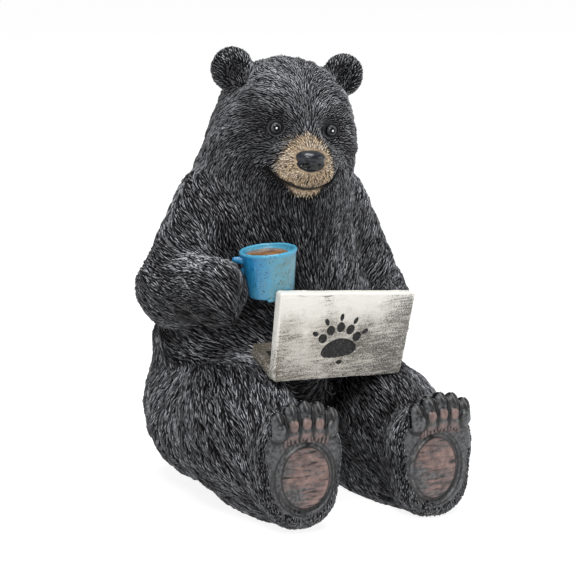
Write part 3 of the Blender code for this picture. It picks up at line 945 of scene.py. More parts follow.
def well_spaced(roots):
    """Which roots carry a stroke: none on the soles, the eyes, the nose and the mouth, and none too close."""
    keep = (roots[:, 2] > 0.4) & (covered(roots) < 0.3)
    keep &= (nose().distance(roots) > 0.1) & (mouth_share(roots) < 0.4)
    free = np.flatnonzero(keep)
    gaps = BODY_SPACING + (HEAD_SPACING - BODY_SPACING) * head_share(roots[free])
    gaps += (MUZZLE_SPACING - gaps) * tan_share(roots[free])
    return free[spaced(roots[free], gaps)]


def make_fur(skin):
    """Closed strokes of fur over the whole skin, as one piece for each part of the body."""
    roots, picked, face_ways, face_names, tree = scatter(skin)
    kept = well_spaced(roots)
    roots = roots[kept]
    picked = picked[kept]
    tan = tan_share(roots)
    head_near = head_share(roots)
    random = np.random.default_rng(5)
    count = len(roots)
    names = face_names[picked]
    ways = face_ways[picked]
    normals = np.array([tree.find_nearest(point)[1] for point in roots])
    turn = 20 * cloud(roots, 7, 1) + 12 * cloud(roots, 2.2, 4)
    turn = np.radians(turn + random.normal(0, 1, count) * (9 + 5 * head_near))
    ways = ways * np.cos(turn)[:, None] + np.cross(normals, ways) * np.sin(turn)[:, None]
    rim = near_sole(roots)
    in_ear = ear_share(roots)
    eyes = near_eye(roots)
    lips = mouth_share(roots, 2.2)
    short = np.maximum.reduce([0.45 * tan, 0.55 * rim, 0.45 * in_ear, 0.55 * eyes, 0.6 * lips])
    lengths = (3.6 - 1.6 * head_near) * (1 - short) * random.uniform(0.6, 1.4, count)
    widths = (0.58 - 0.16 * head_near - 0.04 * tan) * random.uniform(0.7, 1.3, count)
    heights = 0.48 - 0.18 * head_near - 0.08 * np.maximum.reduce([tan, eyes, in_ear, lips])
    heights *= random.uniform(0.7, 1.3, count)
    stations, upright = stroke_stations(tree, face_ways, roots, ways, lengths)
    tone = random.uniform(0, 1, count)
    tone += (0.62 - tone) * 0.45 * head_near
    # How much grey each stroke takes: dry-brushing with painted shade and painted highlight in it
    brush_and_shade = brush_and_shade_share(roots, normals)
    marks = {"tone": tone, "brush_and_shade": brush_and_shade, "tan": tan, "rim": rim, "soft": crown_share(roots)}
    clear = np.maximum(mouth_share(stations[2]), mouth_share(stations[3])) < 0.5
    clear &= stations[:, :, 2].min(axis=0) > 0.15
    labels = np.where((names == "torso") & (roots[:, 1] > 5), "back", names)
    pieces = []
    for label in ("head", "torso", "back", "arms", "legs"):
        own = (labels == label) & clear
        name = "fur_" + label
        own_marks = {kind: values[own] for kind, values in marks.items()}
        mesh = stroke_mesh(name, stations[:, own], upright[:, own], widths[own], heights[own], own_marks)
        pieces.append(new_piece(name, mesh))
    return pieces


def brush_and_shade_share(points, normals):
    """How much grey each point takes: dry-brushing that varies at random and is heavier on the ears, with
    painted shade in folds, in the hollows of the ears and on faces turned away from the top, and painted
    highlight and painted shade at the listed spots.
    """
    share = np.clip(0.62 + 0.40 * cloud(points, 14, 2) + 0.40 * cloud(points, 4.5, 3), 0.05, 1)
    # Painted shade: less grey where folds close over a point, though not on the ears
    share *= np.maximum(0.40 + 0.60 * openness(points, normals, bear_clay()), 0.9 * ear_share(points))
    # Painted highlight and painted shade at the listed spots, among heavier and lighter dry-brushing
    for place, reach, more in BRUSH_HIGHLIGHT_AND_SHADE_SPOTS:
        share += more * np.exp(-((points - vector(*place)) ** 2).sum(axis=1) / reach**2)
    # Painted light from above: less grey on faces turned away from the top
    share *= np.clip(0.80 + 0.35 * normals[:, 2], 0.35, 1)
    share += 0.35 * ear_share(points)
    # Painted shade in the hollows of the ears
    return np.clip(share, 0, 1.3) * (1 - 0.8 * ear_hollow(points))


def near_sole(points):
    """1 round a sole, 0 from 3 mm behind the foot's middle. Strokes are short and greyer there."""
    share = np.zeros(len(points))
    for side, reach in LEGS:
        local = in_foot(points, side, reach)
        share = np.maximum(share, np.clip((3.0 - local[:, 1]) / 3, 0, 1) * (np.abs(local[:, 0]) < 20))
    return share


def ear_hollow(points):
    """1 in the hollows of the ears."""
    local = in_head(points)
    share = np.zeros(len(points))
    middle, radii = EAR_HOLLOW
    for side in (-1, 1):
        hollow = ball_distance(local, vector(*mirrored(side, middle)), vector(*radii), np.eye(3))
        share = np.maximum(share, np.clip(0.5 - hollow, 0, 1))
    return share


def ear_share(points):
    """1 on the ears, 0 on the head."""
    share = np.zeros(len(points))
    for side in (-1, 1):
        share = np.maximum(share, np.clip(1.2 - ear_clay(side).distance(points) / 1.5, 0, 1))
    return share


# The face's own pieces and the soles, which need a finer mesh than the skin

def laid_sheet(name, clay, place, across, up, start, reach):
    """A sheet of points dropped along place's Y from start onto the clay, without those that pass reach.

    Returns the object in millimetres and its points in place's frame.
    """
    wide, tall = len(across), len(up)
    local = np.array([(x, start, z) for z in up for x in across], float)
    for _ in range(45):
        local[:, 1] += 0.8 * np.maximum(clay.distance(moved(place, local)), -0.5)
    kept = local[:, 1] < reach
    corner = (np.arange(tall - 1)[:, None] * wide + np.arange(wide - 1)).ravel()
    faces = np.stack([corner, corner + 1, corner + wide + 1, corner + wide], axis=1)
    faces = faces[kept[faces].all(axis=1)]
    used, faces = np.unique(faces, return_inverse=True)
    local = local[used]
    mesh = bpy.data.meshes.new(name)
    mesh.from_pydata(moved(place, local).tolist(), [], faces.reshape(-1, 4).tolist())
    return new_piece(name, mesh), local


def ripples(points, stretch, seed):
    """Noise from -1 to 1 at two sizes, stretched along each axis."""
    return 0.65 * cloud(points * stretch, 1, seed) + 0.35 * cloud(points * stretch * 2.3, 1, seed + 1)


def toe_pad(toe):
    """A toe's pad as its middle and its reach each way."""
    return (toe * 0.95, -5.3, 14.8 - 0.02 * toe * toe), (1.75, 1.2, 2.0)


def claw(toe):
    """A claw as its root, its tip and its radius at each."""
    top = toe_top(toe)
    return vector(toe, -3.0, top + 1.3), vector(toe, -5.7, top - 0.4), 1.2, 0.75


def pleat_sag(x):
    """How far the row of pleats hangs down this far across the foot."""
    return 0.025 * x * x


def sole_shape(side, reach):
    """The sole with toe pads, a claw hooked over each toe, and a ragged row of pleats above the big pad."""
    clay = foot(side, reach)
    pad = FEET[side][3]
    random = np.random.default_rng(40 + side)
    for toe in TOES:
        clay.limb((toe * 0.97, -3.6, 12), (toe, -3.0, toe_top(toe) - 1.2), 2.5, 2.2, soft=1.2)
        clay.ball(*toe_pad(toe), soft=0.5)
        clay.limb(*claw(toe), soft=0.25)
    for pleat in range(PLEATS):
        x = PLEATS_START + PLEAT_PITCH * pleat + pad * 0.4 + random.uniform(-0.25, 0.25)
        lean = random.uniform(-0.45, 0.45)
        high = 11.3 - pleat_sag(x) + random.uniform(-0.4, 0.3)
        low = 9.4 - pleat_sag(x) + random.uniform(-0.5, 0.3)
        thick = (random.uniform(0.45, 0.65), random.uniform(0.35, 0.6))
        clay.limb((x, -4.7, low), (x + lean, -4.7, high), *thick, soft=0.2)
    return clay


def make_sole(side, reach):
    """The bare sole with its big pad, its pleats, its toe pads and claws."""
    across = np.arange(-14.5, 14.6, SOLE_GRID)
    up = np.arange(-20.5, 23.2, SOLE_GRID)
    name = "sole_right" if side < 0 else "sole_left"
    clay = sole_shape(side, reach)
    sole, local = laid_sheet(name, clay, foot_place(side, reach), across, up, -9, 0.4)
    points = points_of(sole.data)
    normals = normals_of(sole.data)
    # How closed in each point is, for painted shade in the crevices
    crevice = 2 - sum(np.clip(clay.distance(points + normals * high) / high, 0, 1) for high in (0.35, 0.9))
    from_pad = vector(FEET[side][3], 0, PAD_UP)
    flat = (local - from_pad)[:, [0, 2]] / PAD_GROOVE
    on_pad = np.clip((0.95 - np.linalg.norm(flat, axis=1)) / 0.1, 0, 1)
    wrinkle = ripples(local, vector(0.14, 0, 0.85), 21 + side)
    creases = np.maximum(ripples(local, vector(0.2, 0, 1.1), 71 + side), 0)
    sunk = np.clip((local[:, 1] + 1.2) / 1.6, 0, 1)
    rough = 0.06 * ripples(local, vector(0.9, 0.9, 0.9), 31)
    rough += 0.07 * ripples(local, vector(1.9, 1.9, 0.7), 35) * (1 - on_pad)
    raised = (0.13 * wrinkle - 0.35 * creases) * on_pad + rough - 0.5 * sunk
    set_points(sole.data, points + normals * raised[:, None])
    streaks = 0.60 + 1.2 * wrinkle + 0.6 * cloud(local, 6, 81 + side) + 0.4 * (local - from_pad)[:, 0] / 9
    toes, claws = toe_marks(local)
    pink = np.maximum.reduce([on_pad * np.clip(streaks, 0, 1), toes * 0.8, pleat_mark(local, side) * 0.6])
    # The dark mark: the claws' dark paint, with painted shade in the pad's groove and creases, in the
    # crevices and in the gaps between the toes
    dark = np.maximum.reduce([
        groove_shade(flat), claws * 0.9, np.clip(2.5 * crevice - 0.2, 0, 1), creases * on_pad * 1.8,
        toe_gap_shade(local)])
    mark(sole.data, "pink", pink)
    mark(sole.data, "dark", np.clip(dark, 0, 1))
    return sole


def toe_marks(local):
    """1 on the pads of the toes, and 1 on the claws, at points of a foot's frame."""
    toes = np.zeros(len(local))
    claws = np.zeros(len(local))
    for toe in TOES:
        middle, radii = toe_pad(toe)
        round_pad = np.hypot((local[:, 0] - middle[0]) / radii[0], (local[:, 2] - middle[2]) / 2.1)
        toes = np.maximum(toes, np.clip((1.05 - round_pad) / 0.35, 0, 1) * (abs(toe) < 8))
        claws = np.maximum(claws, np.clip(0.9 - limb_distance(local, *claw(toe)) / 0.3, 0, 1))
    return toes, claws


def pleat_mark(local, side):
    """1 on the row of pleats."""
    x = local[:, 0]
    band = np.abs(local[:, 2] - 10.2 + pleat_sag(x))
    row = np.clip((8.2 - np.abs(x - FEET[side][3] * 0.4)) / 1.2, 0, 1)
    return np.clip((2.0 - band) / 0.5, 0, 1) * row


def groove_shade(flat):
    """Painted shade in the groove round the big pad, most to its lower right."""
    share = np.linalg.norm(flat, axis=1)
    return np.exp(-((share - 1.0) / 0.05) ** 2) * np.clip(0.9 + flat[:, 0] * 0.6 - flat[:, 1] * 0.6, 0.2, 1)


def toe_gap_shade(local):
    """Painted shade in the gaps between the toes."""
    x, z = local[:, 0], local[:, 2]
    between = np.clip((np.abs((x - 2.1) % 4.5 - 2.25) - 1.85) / 0.3, 0, 1)
    return between * np.clip((z - 11.6) / 0.8, 0, 1) * (np.abs(x) < 9.5)


def make_eye_socket(side, eye):
    """The skin round an eye: the rims of its lids, the crease below them and the fold outside it."""
    clay = head()
    clay.ring(eye + Vector((0, -0.85, 0)), (2.4, 2.1), 0.5, soft=0.5)
    clay.ring(eye + Vector((0, -1.75, -0.25)), (2.85, 2.55), 0.26, soft=0.3, cut=True)
    turns = np.linspace(0, 2 * math.pi, SPOKES + 1)
    reaches = np.linspace(1.2, 3.2, SOCKET_RINGS)
    local = np.array([(eye.x + reach * math.cos(turn), -26, eye.z + EYE_OPENING * reach * math.sin(turn))
                      for reach in reaches for turn in turns[:-1]])
    for _ in range(40):
        local[:, 1] += 0.8 * clay.distance(moved(head_place(), local))
    local[-SPOKES:, 1] += 0.7
    local[-2 * SPOKES:-SPOKES, 1] += 0.3
    faces = []
    for ring in range(0, SPOKES * (SOCKET_RINGS - 1), SPOKES):
        for spoke in range(SPOKES):
            after = (spoke + 1) % SPOKES
            faces.append((ring + spoke, ring + after, ring + SPOKES + after, ring + SPOKES + spoke))
    name = "eye_socket_right" if side < 0 else "eye_socket_left"
    mesh = bpy.data.meshes.new(name)
    mesh.from_pydata(moved(head_place(), local).tolist(), [], faces)
    away = np.hypot(local[:, 0] - eye.x, (local[:, 2] - eye.z) / EYE_OPENING)
    below = np.clip((eye.z + 0.2 - local[:, 2]) / 1.8, 0, 1)
    # Painted highlight along the crease under the eye
    mark(mesh, "crease_highlight", np.exp(-((away - 2.85) / 0.2) ** 2) * below)
    mark(mesh, "lid", np.exp(-((away - 2.3) / 0.35) ** 2))
    return new_piece(name, mesh)


def make_eye(side, eye):
    """A round eye. The mark "off_axis" is 0 at the middle of its pupil and 1 a quarter turn away."""
    axis = Vector((side * 0.10, -1, 0.05)).normalized()
    bpy.ops.mesh.primitive_uv_sphere_add(segments=48, ring_count=32, radius=EYE_RADIUS)
    item = bpy.context.object
    item.name = "eye_right" if side < 0 else "eye_left"
    turn = axis.to_track_quat("Z", "Y").to_matrix().to_4x4()
    heights = points_of(item.data)[:, 2] / EYE_RADIUS
    mark(item.data, "off_axis", np.arccos(np.clip(heights, -1, 1)) / (math.pi / 2))
    item.data.transform(head_place() @ Matrix.Translation(eye) @ turn)
    return item


def make_nose():
    """The nose's leather, with "nostril" marked where its openings are, for the painted shade in them."""
    clay = nose()
    lumps = []
    lumps_of(clay, Matrix.Identity(4), lumps)
    item = joined("nose", lumps)
    for voxel in (0.5, 0.26):
        remeshed(item, voxel)
        points, normals = onto_surface(clay, points_of(item.data), rounds=4)
        set_points(item.data, points)
    points += normals * (0.035 * ripples(points, vector(1.6, 1.6, 1.6), 41))[:, None]
    set_points(item.data, points)
    local = in_head(points)
    local[:, 0] = np.abs(local[:, 0])
    hole = ball_distance(local, vector(2.15, -32.4, -6.2), vector(1.5, 1.8, 1.05), np.eye(3))
    slit = limb_distance(local, *(vector(*place) for place in NOSTRIL_SLIT), 0.5, 0.3)
    # Painted shade in the nostrils and the slits beside them
    mark(item.data, "nostril", np.clip(0.6 - np.minimum(hole, slit) / 0.4, 0, 1))
    return item


def make_mouth():
    """The dark line of the mouth, laid along the bottom of its groove."""
    half = np.array(MOUTH)
    line = np.concatenate([half * (-1, 1, 1), half[-2::-1]])
    along = np.linspace(0, len(line) - 1, 61)
    line = np.stack([np.interp(along, np.arange(len(line)), line[:, axis]) for axis in range(3)], axis=1)
    for _ in range(3):
        line[1:-1] = (line[:-2] + 2 * line[1:-1] + line[2:]) / 4
    line, normals = onto_surface(head(), moved(head_place(), line))
    curve = bpy.data.curves.new("mouth", "CURVE")
    curve.dimensions = "3D"
    curve.bevel_depth = 0.42
    curve.bevel_resolution = 2
    curve.use_fill_caps = True
    spline = curve.splines.new("POLY")
    spline.points.add(len(line) - 1)
    for share, point, where in zip(np.linspace(0, 1, len(line)), spline.points, line + normals * 0.05):
        point.co = (*where, 1)
        point.radius = min(1, 0.3 + 5 * share * (1 - share))
    select_only(new_piece("mouth", curve))
    bpy.ops.object.convert(target="MESH")
    return bpy.context.object


# The mug and its coffee

def turned(name, profile, steps, place):
    """A closed form spun round Z from a profile of radius and height."""
    mesh = bpy.data.meshes.new(name)
    points = [(radius, 0, height) for radius, height in profile]
    mesh.from_pydata(points, [(index, index + 1) for index in range(len(points) - 1)], [])
    item = new_piece(name, mesh)
    spin = item.modifiers.new("Turned", "SCREW")
    spin.steps = steps
    spin.render_steps = steps
    spin.use_merge_vertices = True
    spin.merge_threshold = 0.001
    apply_modifiers(item)
    outward_faces(item)
    item.data.transform(place)
    return item


def outward_faces(item):
    select_only(item)
    bpy.ops.object.mode_set(mode="EDIT")
    bpy.ops.mesh.select_all(action="SELECT")
    bpy.ops.mesh.normals_make_consistent(inside=False)
    bpy.ops.object.mode_set(mode="OBJECT")


def joined(name, items):
    select_only(items[0])
    if len(items) > 1:
        for item in items:
            item.select_set(True)
        bpy.ops.object.join()
    items[0].name = name
    return items[0]


def wall_radius(height):
    return FOOT_RADIUS + (RIM_RADIUS - FOOT_RADIUS) * height / MUG_HEIGHT


def make_mug():
    """A stout mug, a little uneven, with its coffee's bed a little below the coffee."""
    inner = RIM_RADIUS - RIM_WALL
    bed = COFFEE_LEVEL - 0.5
    profile = [(0, 0), (3.5, 0), (FOOT_RADIUS - 0.6, 0), (FOOT_RADIUS - 0.15, 0.15), (wall_radius(0.6), 0.6)]
    profile += [(wall_radius(height), height) for height in np.linspace(1.4, MUG_HEIGHT - 1.6, 14)]
    profile += [(RIM_RADIUS + 0.12, MUG_HEIGHT - 0.9), (RIM_RADIUS + 0.15, MUG_HEIGHT - 0.45),
                (RIM_RADIUS - 0.1, MUG_HEIGHT - 0.08), (inner + 0.5, MUG_HEIGHT),
                (inner + 0.12, MUG_HEIGHT - 0.2), (inner, MUG_HEIGHT - 0.6),
                (inner - 0.05, bed), (4, bed), (0, bed)]
    mug = turned("mug_shell", profile, 96, mug_place())
    points = points_of(mug.data)
    dents = 0.10 * cloud(points, 3.2, 51) + 0.05 * cloud(points, 1.1, 52)
    set_points(mug.data, points + normals_of(mug.data) * dents[:, None])
    return mug


def make_handle():
    """The stub of the mug's handle, with two drips of glaze on the mug's wall and foot."""
    stub_turn = Matrix.Rotation(math.radians(-16), 4, "Z")
    lumps = []
    for along, high, radius in ((8.4, 12.6, 1.5), (9.3, 12.7, 1.3), (10.2, 12.9, 1.1), (11.1, 13.1, 0.95)):
        lumps.append((stub_turn @ Vector((-along, 0, high)), (radius, radius, radius)))
    bump_turn = Matrix.Rotation(math.radians(-29), 4, "Z")
    lumps.append((bump_turn @ Vector((-wall_radius(8.7), 0, 8.7)), (1.1, 1.1, 1.5)))
    lumps.append((Vector((-3.3, -6.1, 0.1)), (1.7, 1.0, 0.8)))
    drips = []
    for centre, radii in lumps:
        bpy.ops.mesh.primitive_ico_sphere_add(subdivisions=3, radius=1)
        drip = bpy.context.object
        drip.data.transform(mug_place() @ Matrix.Translation(centre) @ Matrix.Diagonal((*radii, 1)))
        drips.append(drip)
    handle = joined("mug_handle_stub", drips)
    remeshed(handle, 0.22)
    smooth(handle, 6)
    return handle


def make_coffee():
    """A disc of coffee with a rounded edge."""
    pool = RIM_RADIUS - RIM_WALL - 0.9
    profile = [(0, COFFEE_LEVEL), (pool - 1.5, COFFEE_LEVEL), (pool - 0.3, COFFEE_LEVEL - 0.05),
               (pool, COFFEE_LEVEL - 0.25), (pool, COFFEE_LEVEL - 0.8), (0, COFFEE_LEVEL - 0.8)]
    return turned("coffee", profile, 64, mug_place() @ Matrix.Translation((-0.6, 0.3, 0)))


def smooth(item, rounds):
    relax = item.modifiers.new("Relaxed", "SMOOTH")
    relax.factor = 0.5
    relax.iterations = rounds
    apply_modifiers(item)


# The laptop

def slab(corners, thickness, corner_radius, middle, place):
    """A flat slab in place's XZ plane with rounded corners. The corners run round from the lower left."""
    bpy.ops.mesh.primitive_cube_add(size=1)
    item = bpy.context.object
    for vert in item.data.vertices:
        right = vert.co.x > 0
        number = (2 if right else 3) if vert.co.z > 0 else (1 if right else 0)
        vert.co.y = middle + math.copysign(thickness / 2, vert.co.y)
        vert.co.x, vert.co.z = corners[number]
    bevel_edges(item, lambda a, b: abs(a.y - b.y) > thickness / 2, corner_radius, 6)
    bevel_edges(item, lambda a, b: abs(a.y - b.y) < thickness / 2, 0.35, 3)
    item.data.transform(place)
    return item


def bevel_edges(item, chosen, width, segments):
    select_only(item)
    bpy.ops.object.mode_set(mode="EDIT")
    bpy.ops.mesh.select_all(action="DESELECT")
    bm = bmesh.from_edit_mesh(item.data)
    bm.select_mode = {"EDGE"}
    for edge in bm.edges:
        edge.select_set(chosen(edge.verts[0].co, edge.verts[1].co))
    bm.select_flush_mode()
    bmesh.update_edit_mesh(item.data)
    bpy.ops.mesh.bevel(offset=width, segments=segments)
    bpy.ops.object.mode_set(mode="OBJECT")


def lid_outline():
    """The lid's corners in its own frame, from the lower left. Its upper right one leans out."""
    drop = DECK_THICKNESS * math.cos(DECK_RISE)
    half_top, half_foot = LID_WIDTH / 2, LID_FOOT_WIDTH / 2
    upper_right = (half_top + LID_SLANT, LID_RIGHT_HEIGHT - drop)
    return (-half_foot, -drop), (half_foot, -drop), upper_right, (-half_top, LID_HEIGHT - drop)


def track_marks():
    """A bear's track of a broad pad, five toes and a claw beyond each, and a small mark below.

    Each is given as (x, z, half width, half height, turn) in the lid's frame.
    """
    x, z = TRACK_MIDDLE
    marks = [(x, z, 6.6, 3.2, math.radians(-6))]
    for toe in range(-2, 3):
        angle = TRACK_FAN * toe
        marks.append((x + 7.4 * math.sin(angle), z + 7.0 * math.cos(angle), 1.5, 1.7, angle))
        marks.append((x + 10.8 * math.sin(angle), z + 10.4 * math.cos(angle), 0.75, 1.25, angle))
    marks.append((x + 0.8, z - 4.9, 1.1, 0.7, 0))
    return marks


def track_distance(local):
    """How far points of the lid's frame lie outside the track, negative inside it."""
    near = np.full(len(local), 1e3)
    for x, z, wide, high, turn in track_marks():
        right = (local[:, 0] - x) * math.cos(turn) - (local[:, 2] - z) * math.sin(turn)
        up = (local[:, 0] - x) * math.sin(turn) + (local[:, 2] - z) * math.cos(turn)
        if z == TRACK_MIDDLE[1]:
            # The broad pad is arched
            up = up - 0.9 * (1 - (right / wide) ** 2) + 0.9
        reach = np.maximum(np.hypot(right / wide, up / high), 1e-3)
        near = np.minimum(near, np.hypot(right, up) * (1 - 1 / reach))
    return near


def boxes(name, place, sizes):
    """Softened boxes of these low and high corners, joined."""
    made = []
    for low, high in sizes:
        low, high = Vector(low), Vector(high)
        bpy.ops.mesh.primitive_cube_add(size=1)
        item = bpy.context.object
        item.data.transform(Matrix.Translation((low + high) / 2) @ Matrix.Diagonal((*(high - low), 1)))
        bevel_edges(item, lambda a, b: True, min(high - low) * 0.2, 2)
        item.data.transform(place)
        made.append(item)
    return joined(name, made)


def cut_out(item, cutter):
    cut = item.modifiers.new("Cut", "BOOLEAN")
    cut.operation = "DIFFERENCE"
    cut.solver = "EXACT"
    cut.object = cutter
    apply_modifiers(item)
    bpy.data.objects.remove(cutter)


def make_laptop():
    """The laptop's shell: hand-cut slabs for the lid and the deck, with beds for the screen and the keys."""
    deck_half = LID_FOOT_WIDTH / 2 - JOINT_GAP
    deck_corners = ((-deck_half, 0), (deck_half, 0), (deck_half, DECK_DEPTH), (-deck_half, DECK_DEPTH))
    shell = joined("laptop_shell", [
        slab(lid_outline(), LID_THICKNESS, LID_CORNER * 0.6, 0, lid_place()),
        slab(deck_corners, DECK_THICKNESS, LID_CORNER, DECK_THICKNESS / 2, deck_place())])
    remeshed(shell, 0.3)
    smooth(shell, 2)
    points = points_of(shell.data)
    uneven = 0.16 * cloud(points, 7, 61) + 0.06 * cloud(points, 1.6, 62)
    set_points(shell.data, points + normals_of(shell.data) * uneven[:, None])
    inside, inner, top = screen_room()
    recess = ((-inside, inner - 0.4, SCREEN_MARGIN), (inside, inner + 1, top))
    cut_out(shell, boxes("screen_cut", lid_place(), [recess]))
    recess = ((-inside, -1, KEYS_START), (inside, KEYS_SUNK, KEYS_START + KEYS_DEPTH))
    cut_out(shell, boxes("keys_cut", deck_place(), [recess]))
    press_track(shell)
    return shell


def screen_room():
    """Half the screen's width, where the lid's inner face lies, and the screen's top."""
    top = LID_RIGHT_HEIGHT - DECK_THICKNESS - SCREEN_MARGIN
    return LID_FOOT_WIDTH / 2 - SCREEN_MARGIN, LID_THICKNESS / 2, top


def make_screen():
    inside, inner, top = screen_room()
    glass = ((-inside + 0.1, inner - 0.8, SCREEN_MARGIN + 0.1), (inside - 0.1, inner - 0.3, top - 0.1))
    return boxes("screen", lid_place(), [glass])


def make_keys():
    """Rows of keys, each with its gap."""
    inside = screen_room()[0]
    keys = []
    pitch_x = (2 * inside - 0.6) / KEYS_ACROSS
    pitch_z = (KEYS_DEPTH - 0.6) / KEY_ROWS
    for row in range(KEY_ROWS):
        for column in range(KEYS_ACROSS):
            x = -inside + 0.3 + pitch_x * column
            z = KEYS_START + 0.3 + pitch_z * row
            high = (x + pitch_x - 0.15, KEYS_SUNK + 0.3, z + pitch_z - 0.15)
            keys.append(((x + 0.15, -0.05, z + 0.15), high))
    return boxes("keys", deck_place(), keys)


def press_track(shell):
    """Presses the track into the lid's outer face. Marks it, the lid's edges, and where the finish lays its
    brown, its painted shade and its painted highlight.
    """
    points = points_of(shell.data)
    local = moved(lid_place().inverted(), points)
    ragged = track_distance(local) + 0.12 * cloud(points, 0.9, 63)
    outer = np.clip((-local[:, 1] - 0.8) / 0.4, 0, 1)
    inward = np.array(lid_place())[:3, 1]
    points += inward * (TRACK_DEPTH * np.clip(0.5 - ragged / 0.35, 0, 1) * outer)[:, None]
    set_points(shell.data, points)
    mark(shell.data, "track", np.clip(0.5 - ragged / 2, 0, 1) * outer)
    corners = np.array(lid_outline())
    gap = np.full(len(local), 1e3)
    for start, end in zip(corners, np.roll(corners, -1, axis=0)):
        along = (end - start) / np.linalg.norm(end - start)
        offset = local[:, [0, 2]] - start
        gap = np.minimum(gap, np.abs(offset[:, 0] * along[1] - offset[:, 1] * along[0]))
    mark(shell.data, "edge", np.clip(1 - gap / 1.6, 0, 1))
    wander = gap - 1.0 + 0.45 * cloud(points, 3, 64)
    by_hand = np.clip(0.35 + 1.6 * cloud(points, 7, 65), 0, 1) * np.clip(0.9 - local[:, 0] / 20, 0.15, 1)
    mark(shell.data, "seam", np.exp(-((wander / 0.3) ** 2)) * by_hand)
    # The deck, for its painted shade
    mark(shell.data, "deck", np.clip(local[:, 1] - LID_THICKNESS, 0, 1))
    x, z = TRACK_MIDDLE
    mark(shell.data, "round_track", np.exp(-((local[:, 0] - x) ** 2 + (local[:, 2] - z - 3) ** 2) / 110))
    # Across and up the lid, for the washed brown, the painted shade on the right and the painted highlight on
    # top
    mark(shell.data, "right", (local[:, 0] + 25) / 50)
    mark(shell.data, "up", (local[:, 2] + 4) / 31)


# Finishes

class Finish:
    """The nodes of one painted finish. A string in place of a number is the name of a mark on the mesh."""

    def __init__(self, name, roughness, specular=0.5):
        self.material = bpy.data.materials.new(name)
        self.material.use_nodes = True
        self.tree = self.material.node_tree
        self.shader = self.tree.nodes["Principled BSDF"]
        self.shader.inputs["Roughness"].default_value = roughness
        self.shader.inputs["Specular IOR Level"].default_value = specular

    def feed(self, socket, value):
        """Links a mark or a node's output to a socket, or sets the socket to a number or colour."""
        if isinstance(value, str):
            value = self.node("ShaderNodeAttribute", attribute_name=value).outputs["Fac"]
        if isinstance(value, bpy.types.NodeSocket):
            self.tree.links.new(value, socket)
        elif isinstance(value, tuple) and len(value) == 3 and socket.type == "RGBA":
            socket.default_value = (*value, 1)
        else:
            socket.default_value = value

    def node(self, kind, inputs=(), **settings):
        made = self.tree.nodes.new(kind)
        for name, value in settings.items():
            setattr(made, name, value)
        for key, value in dict(inputs).items():
            self.feed(made.inputs[key], value)
        return made

    def place(self, scale=(1, 1, 1)):
        """The point on the piece, in metres, stretched by scale."""
        coordinates = self.node("ShaderNodeTexCoord").outputs["Object"]
        return self.node("ShaderNodeMapping", {"Vector": coordinates, "Scale": scale}).outputs["Vector"]

    def grain(self, scale, detail=3.0, where=None):
        inputs = {"Vector": where or self.place(), "Scale": scale, "Detail": detail}
        return self.node("ShaderNodeTexNoise", inputs).outputs["Fac"]

    def ramp(self, value, low, high, start=0.0, end=1.0):
        made = self.node("ShaderNodeMapRange", {0: value, 1: low, 2: high, 3: start, 4: end})
        return made.outputs[0]

    def maths(self, operation, a, b):
        return self.node("ShaderNodeMath", {0: a, 1: b}, operation=operation).outputs[0]

    def times(self, a, b):
        return self.maths("MULTIPLY", a, b)

    def plus(self, a, b):
        return self.maths("ADD", a, b)

    def minus(self, a, b):
        return self.maths("SUBTRACT", a, b)

    def power(self, a, b):
        return self.maths("POWER", a, b)

    def mix(self, share, a, b):
        return self.node("ShaderNodeMix", {0: share, 6: a, 7: b}, data_type="RGBA").outputs[2]

    def colour(self, value):
        self.feed(self.shader.inputs["Base Color"], value)

    def bump(self, height, strength, distance):
        made = self.node("ShaderNodeBump", {"Height": height, "Strength": strength, "Distance": distance})
        self.feed(self.shader.inputs["Normal"], made.outputs["Normal"])


# Fur
BLACK = (0.0025, 0.0025, 0.003)
CHARCOAL = (0.006, 0.006, 0.0065)
THIN_GREY = (0.030, 0.0305, 0.033)
CROWN_GREY = (0.070, 0.071, 0.075)
BRUSHED_GREY = (0.62, 0.63, 0.67)

# Muzzle
TAN_DARK = (0.045, 0.033, 0.023)
TAN = (0.80, 0.60, 0.38)
CREAM = (0.92, 0.81, 0.67)
MUZZLE_DARK = (0.20, 0.145, 0.10)
MUZZLE_SKIN = (0.42, 0.32, 0.22)

# Soles
SOLE_GREY = (0.035, 0.036, 0.039)
SOLE_DARK = (0.018, 0.0185, 0.020)
SOLE_WORN = (0.105, 0.107, 0.112)
SOLE_PINK = (0.270, 0.170, 0.148)
PINK_DARK = (0.110, 0.066, 0.058)
# Black of the claws, and of painted shade in the soles' crevices
CREVICE = (0.004, 0.004, 0.005)

# Eyes and nose
PUPIL = (0.002, 0.002, 0.002)
IRIS_DARK = (0.030, 0.032, 0.035)
IRIS_LIGHT = (0.10, 0.105, 0.115)
GLINT = (0.9, 0.9, 0.9)
LID_DULL = (0.012, 0.012, 0.013)
LID_WORN = (0.055, 0.056, 0.060)
LID_LINE = (0.007, 0.007, 0.0075)
# Painted highlight along the crease under each eye
LID_HIGHLIGHT = (0.12, 0.125, 0.135)
NOSE_BLUE = (0.005, 0.006, 0.009)
NOSE_WORN = (0.022, 0.025, 0.032)

# Mug and coffee
GLAZE = (0.085, 0.290, 0.400)
# Deeper blue of the painted shade down the mug's side by the paw
GLAZE_SHADE = (0.008, 0.165, 0.360)
# Grey-green of the painted reflection down the mug's middle
GLAZE_REFLECTION = (0.105, 0.210, 0.230)
# Paler blue of random patches, and of the painted highlight along the rim
GLAZE_RIM = (0.060, 0.300, 0.460)
SPECK = (0.010, 0.030, 0.042)
COFFEE_DARK = (0.12, 0.05, 0.018)
COFFEE_LIGHT = (0.32, 0.16, 0.06)

# Laptop
SILVER = (0.66, 0.63, 0.57)
SILVER_BRIGHT = (0.80, 0.78, 0.73)
SILVER_WASH = (0.13, 0.105, 0.075)
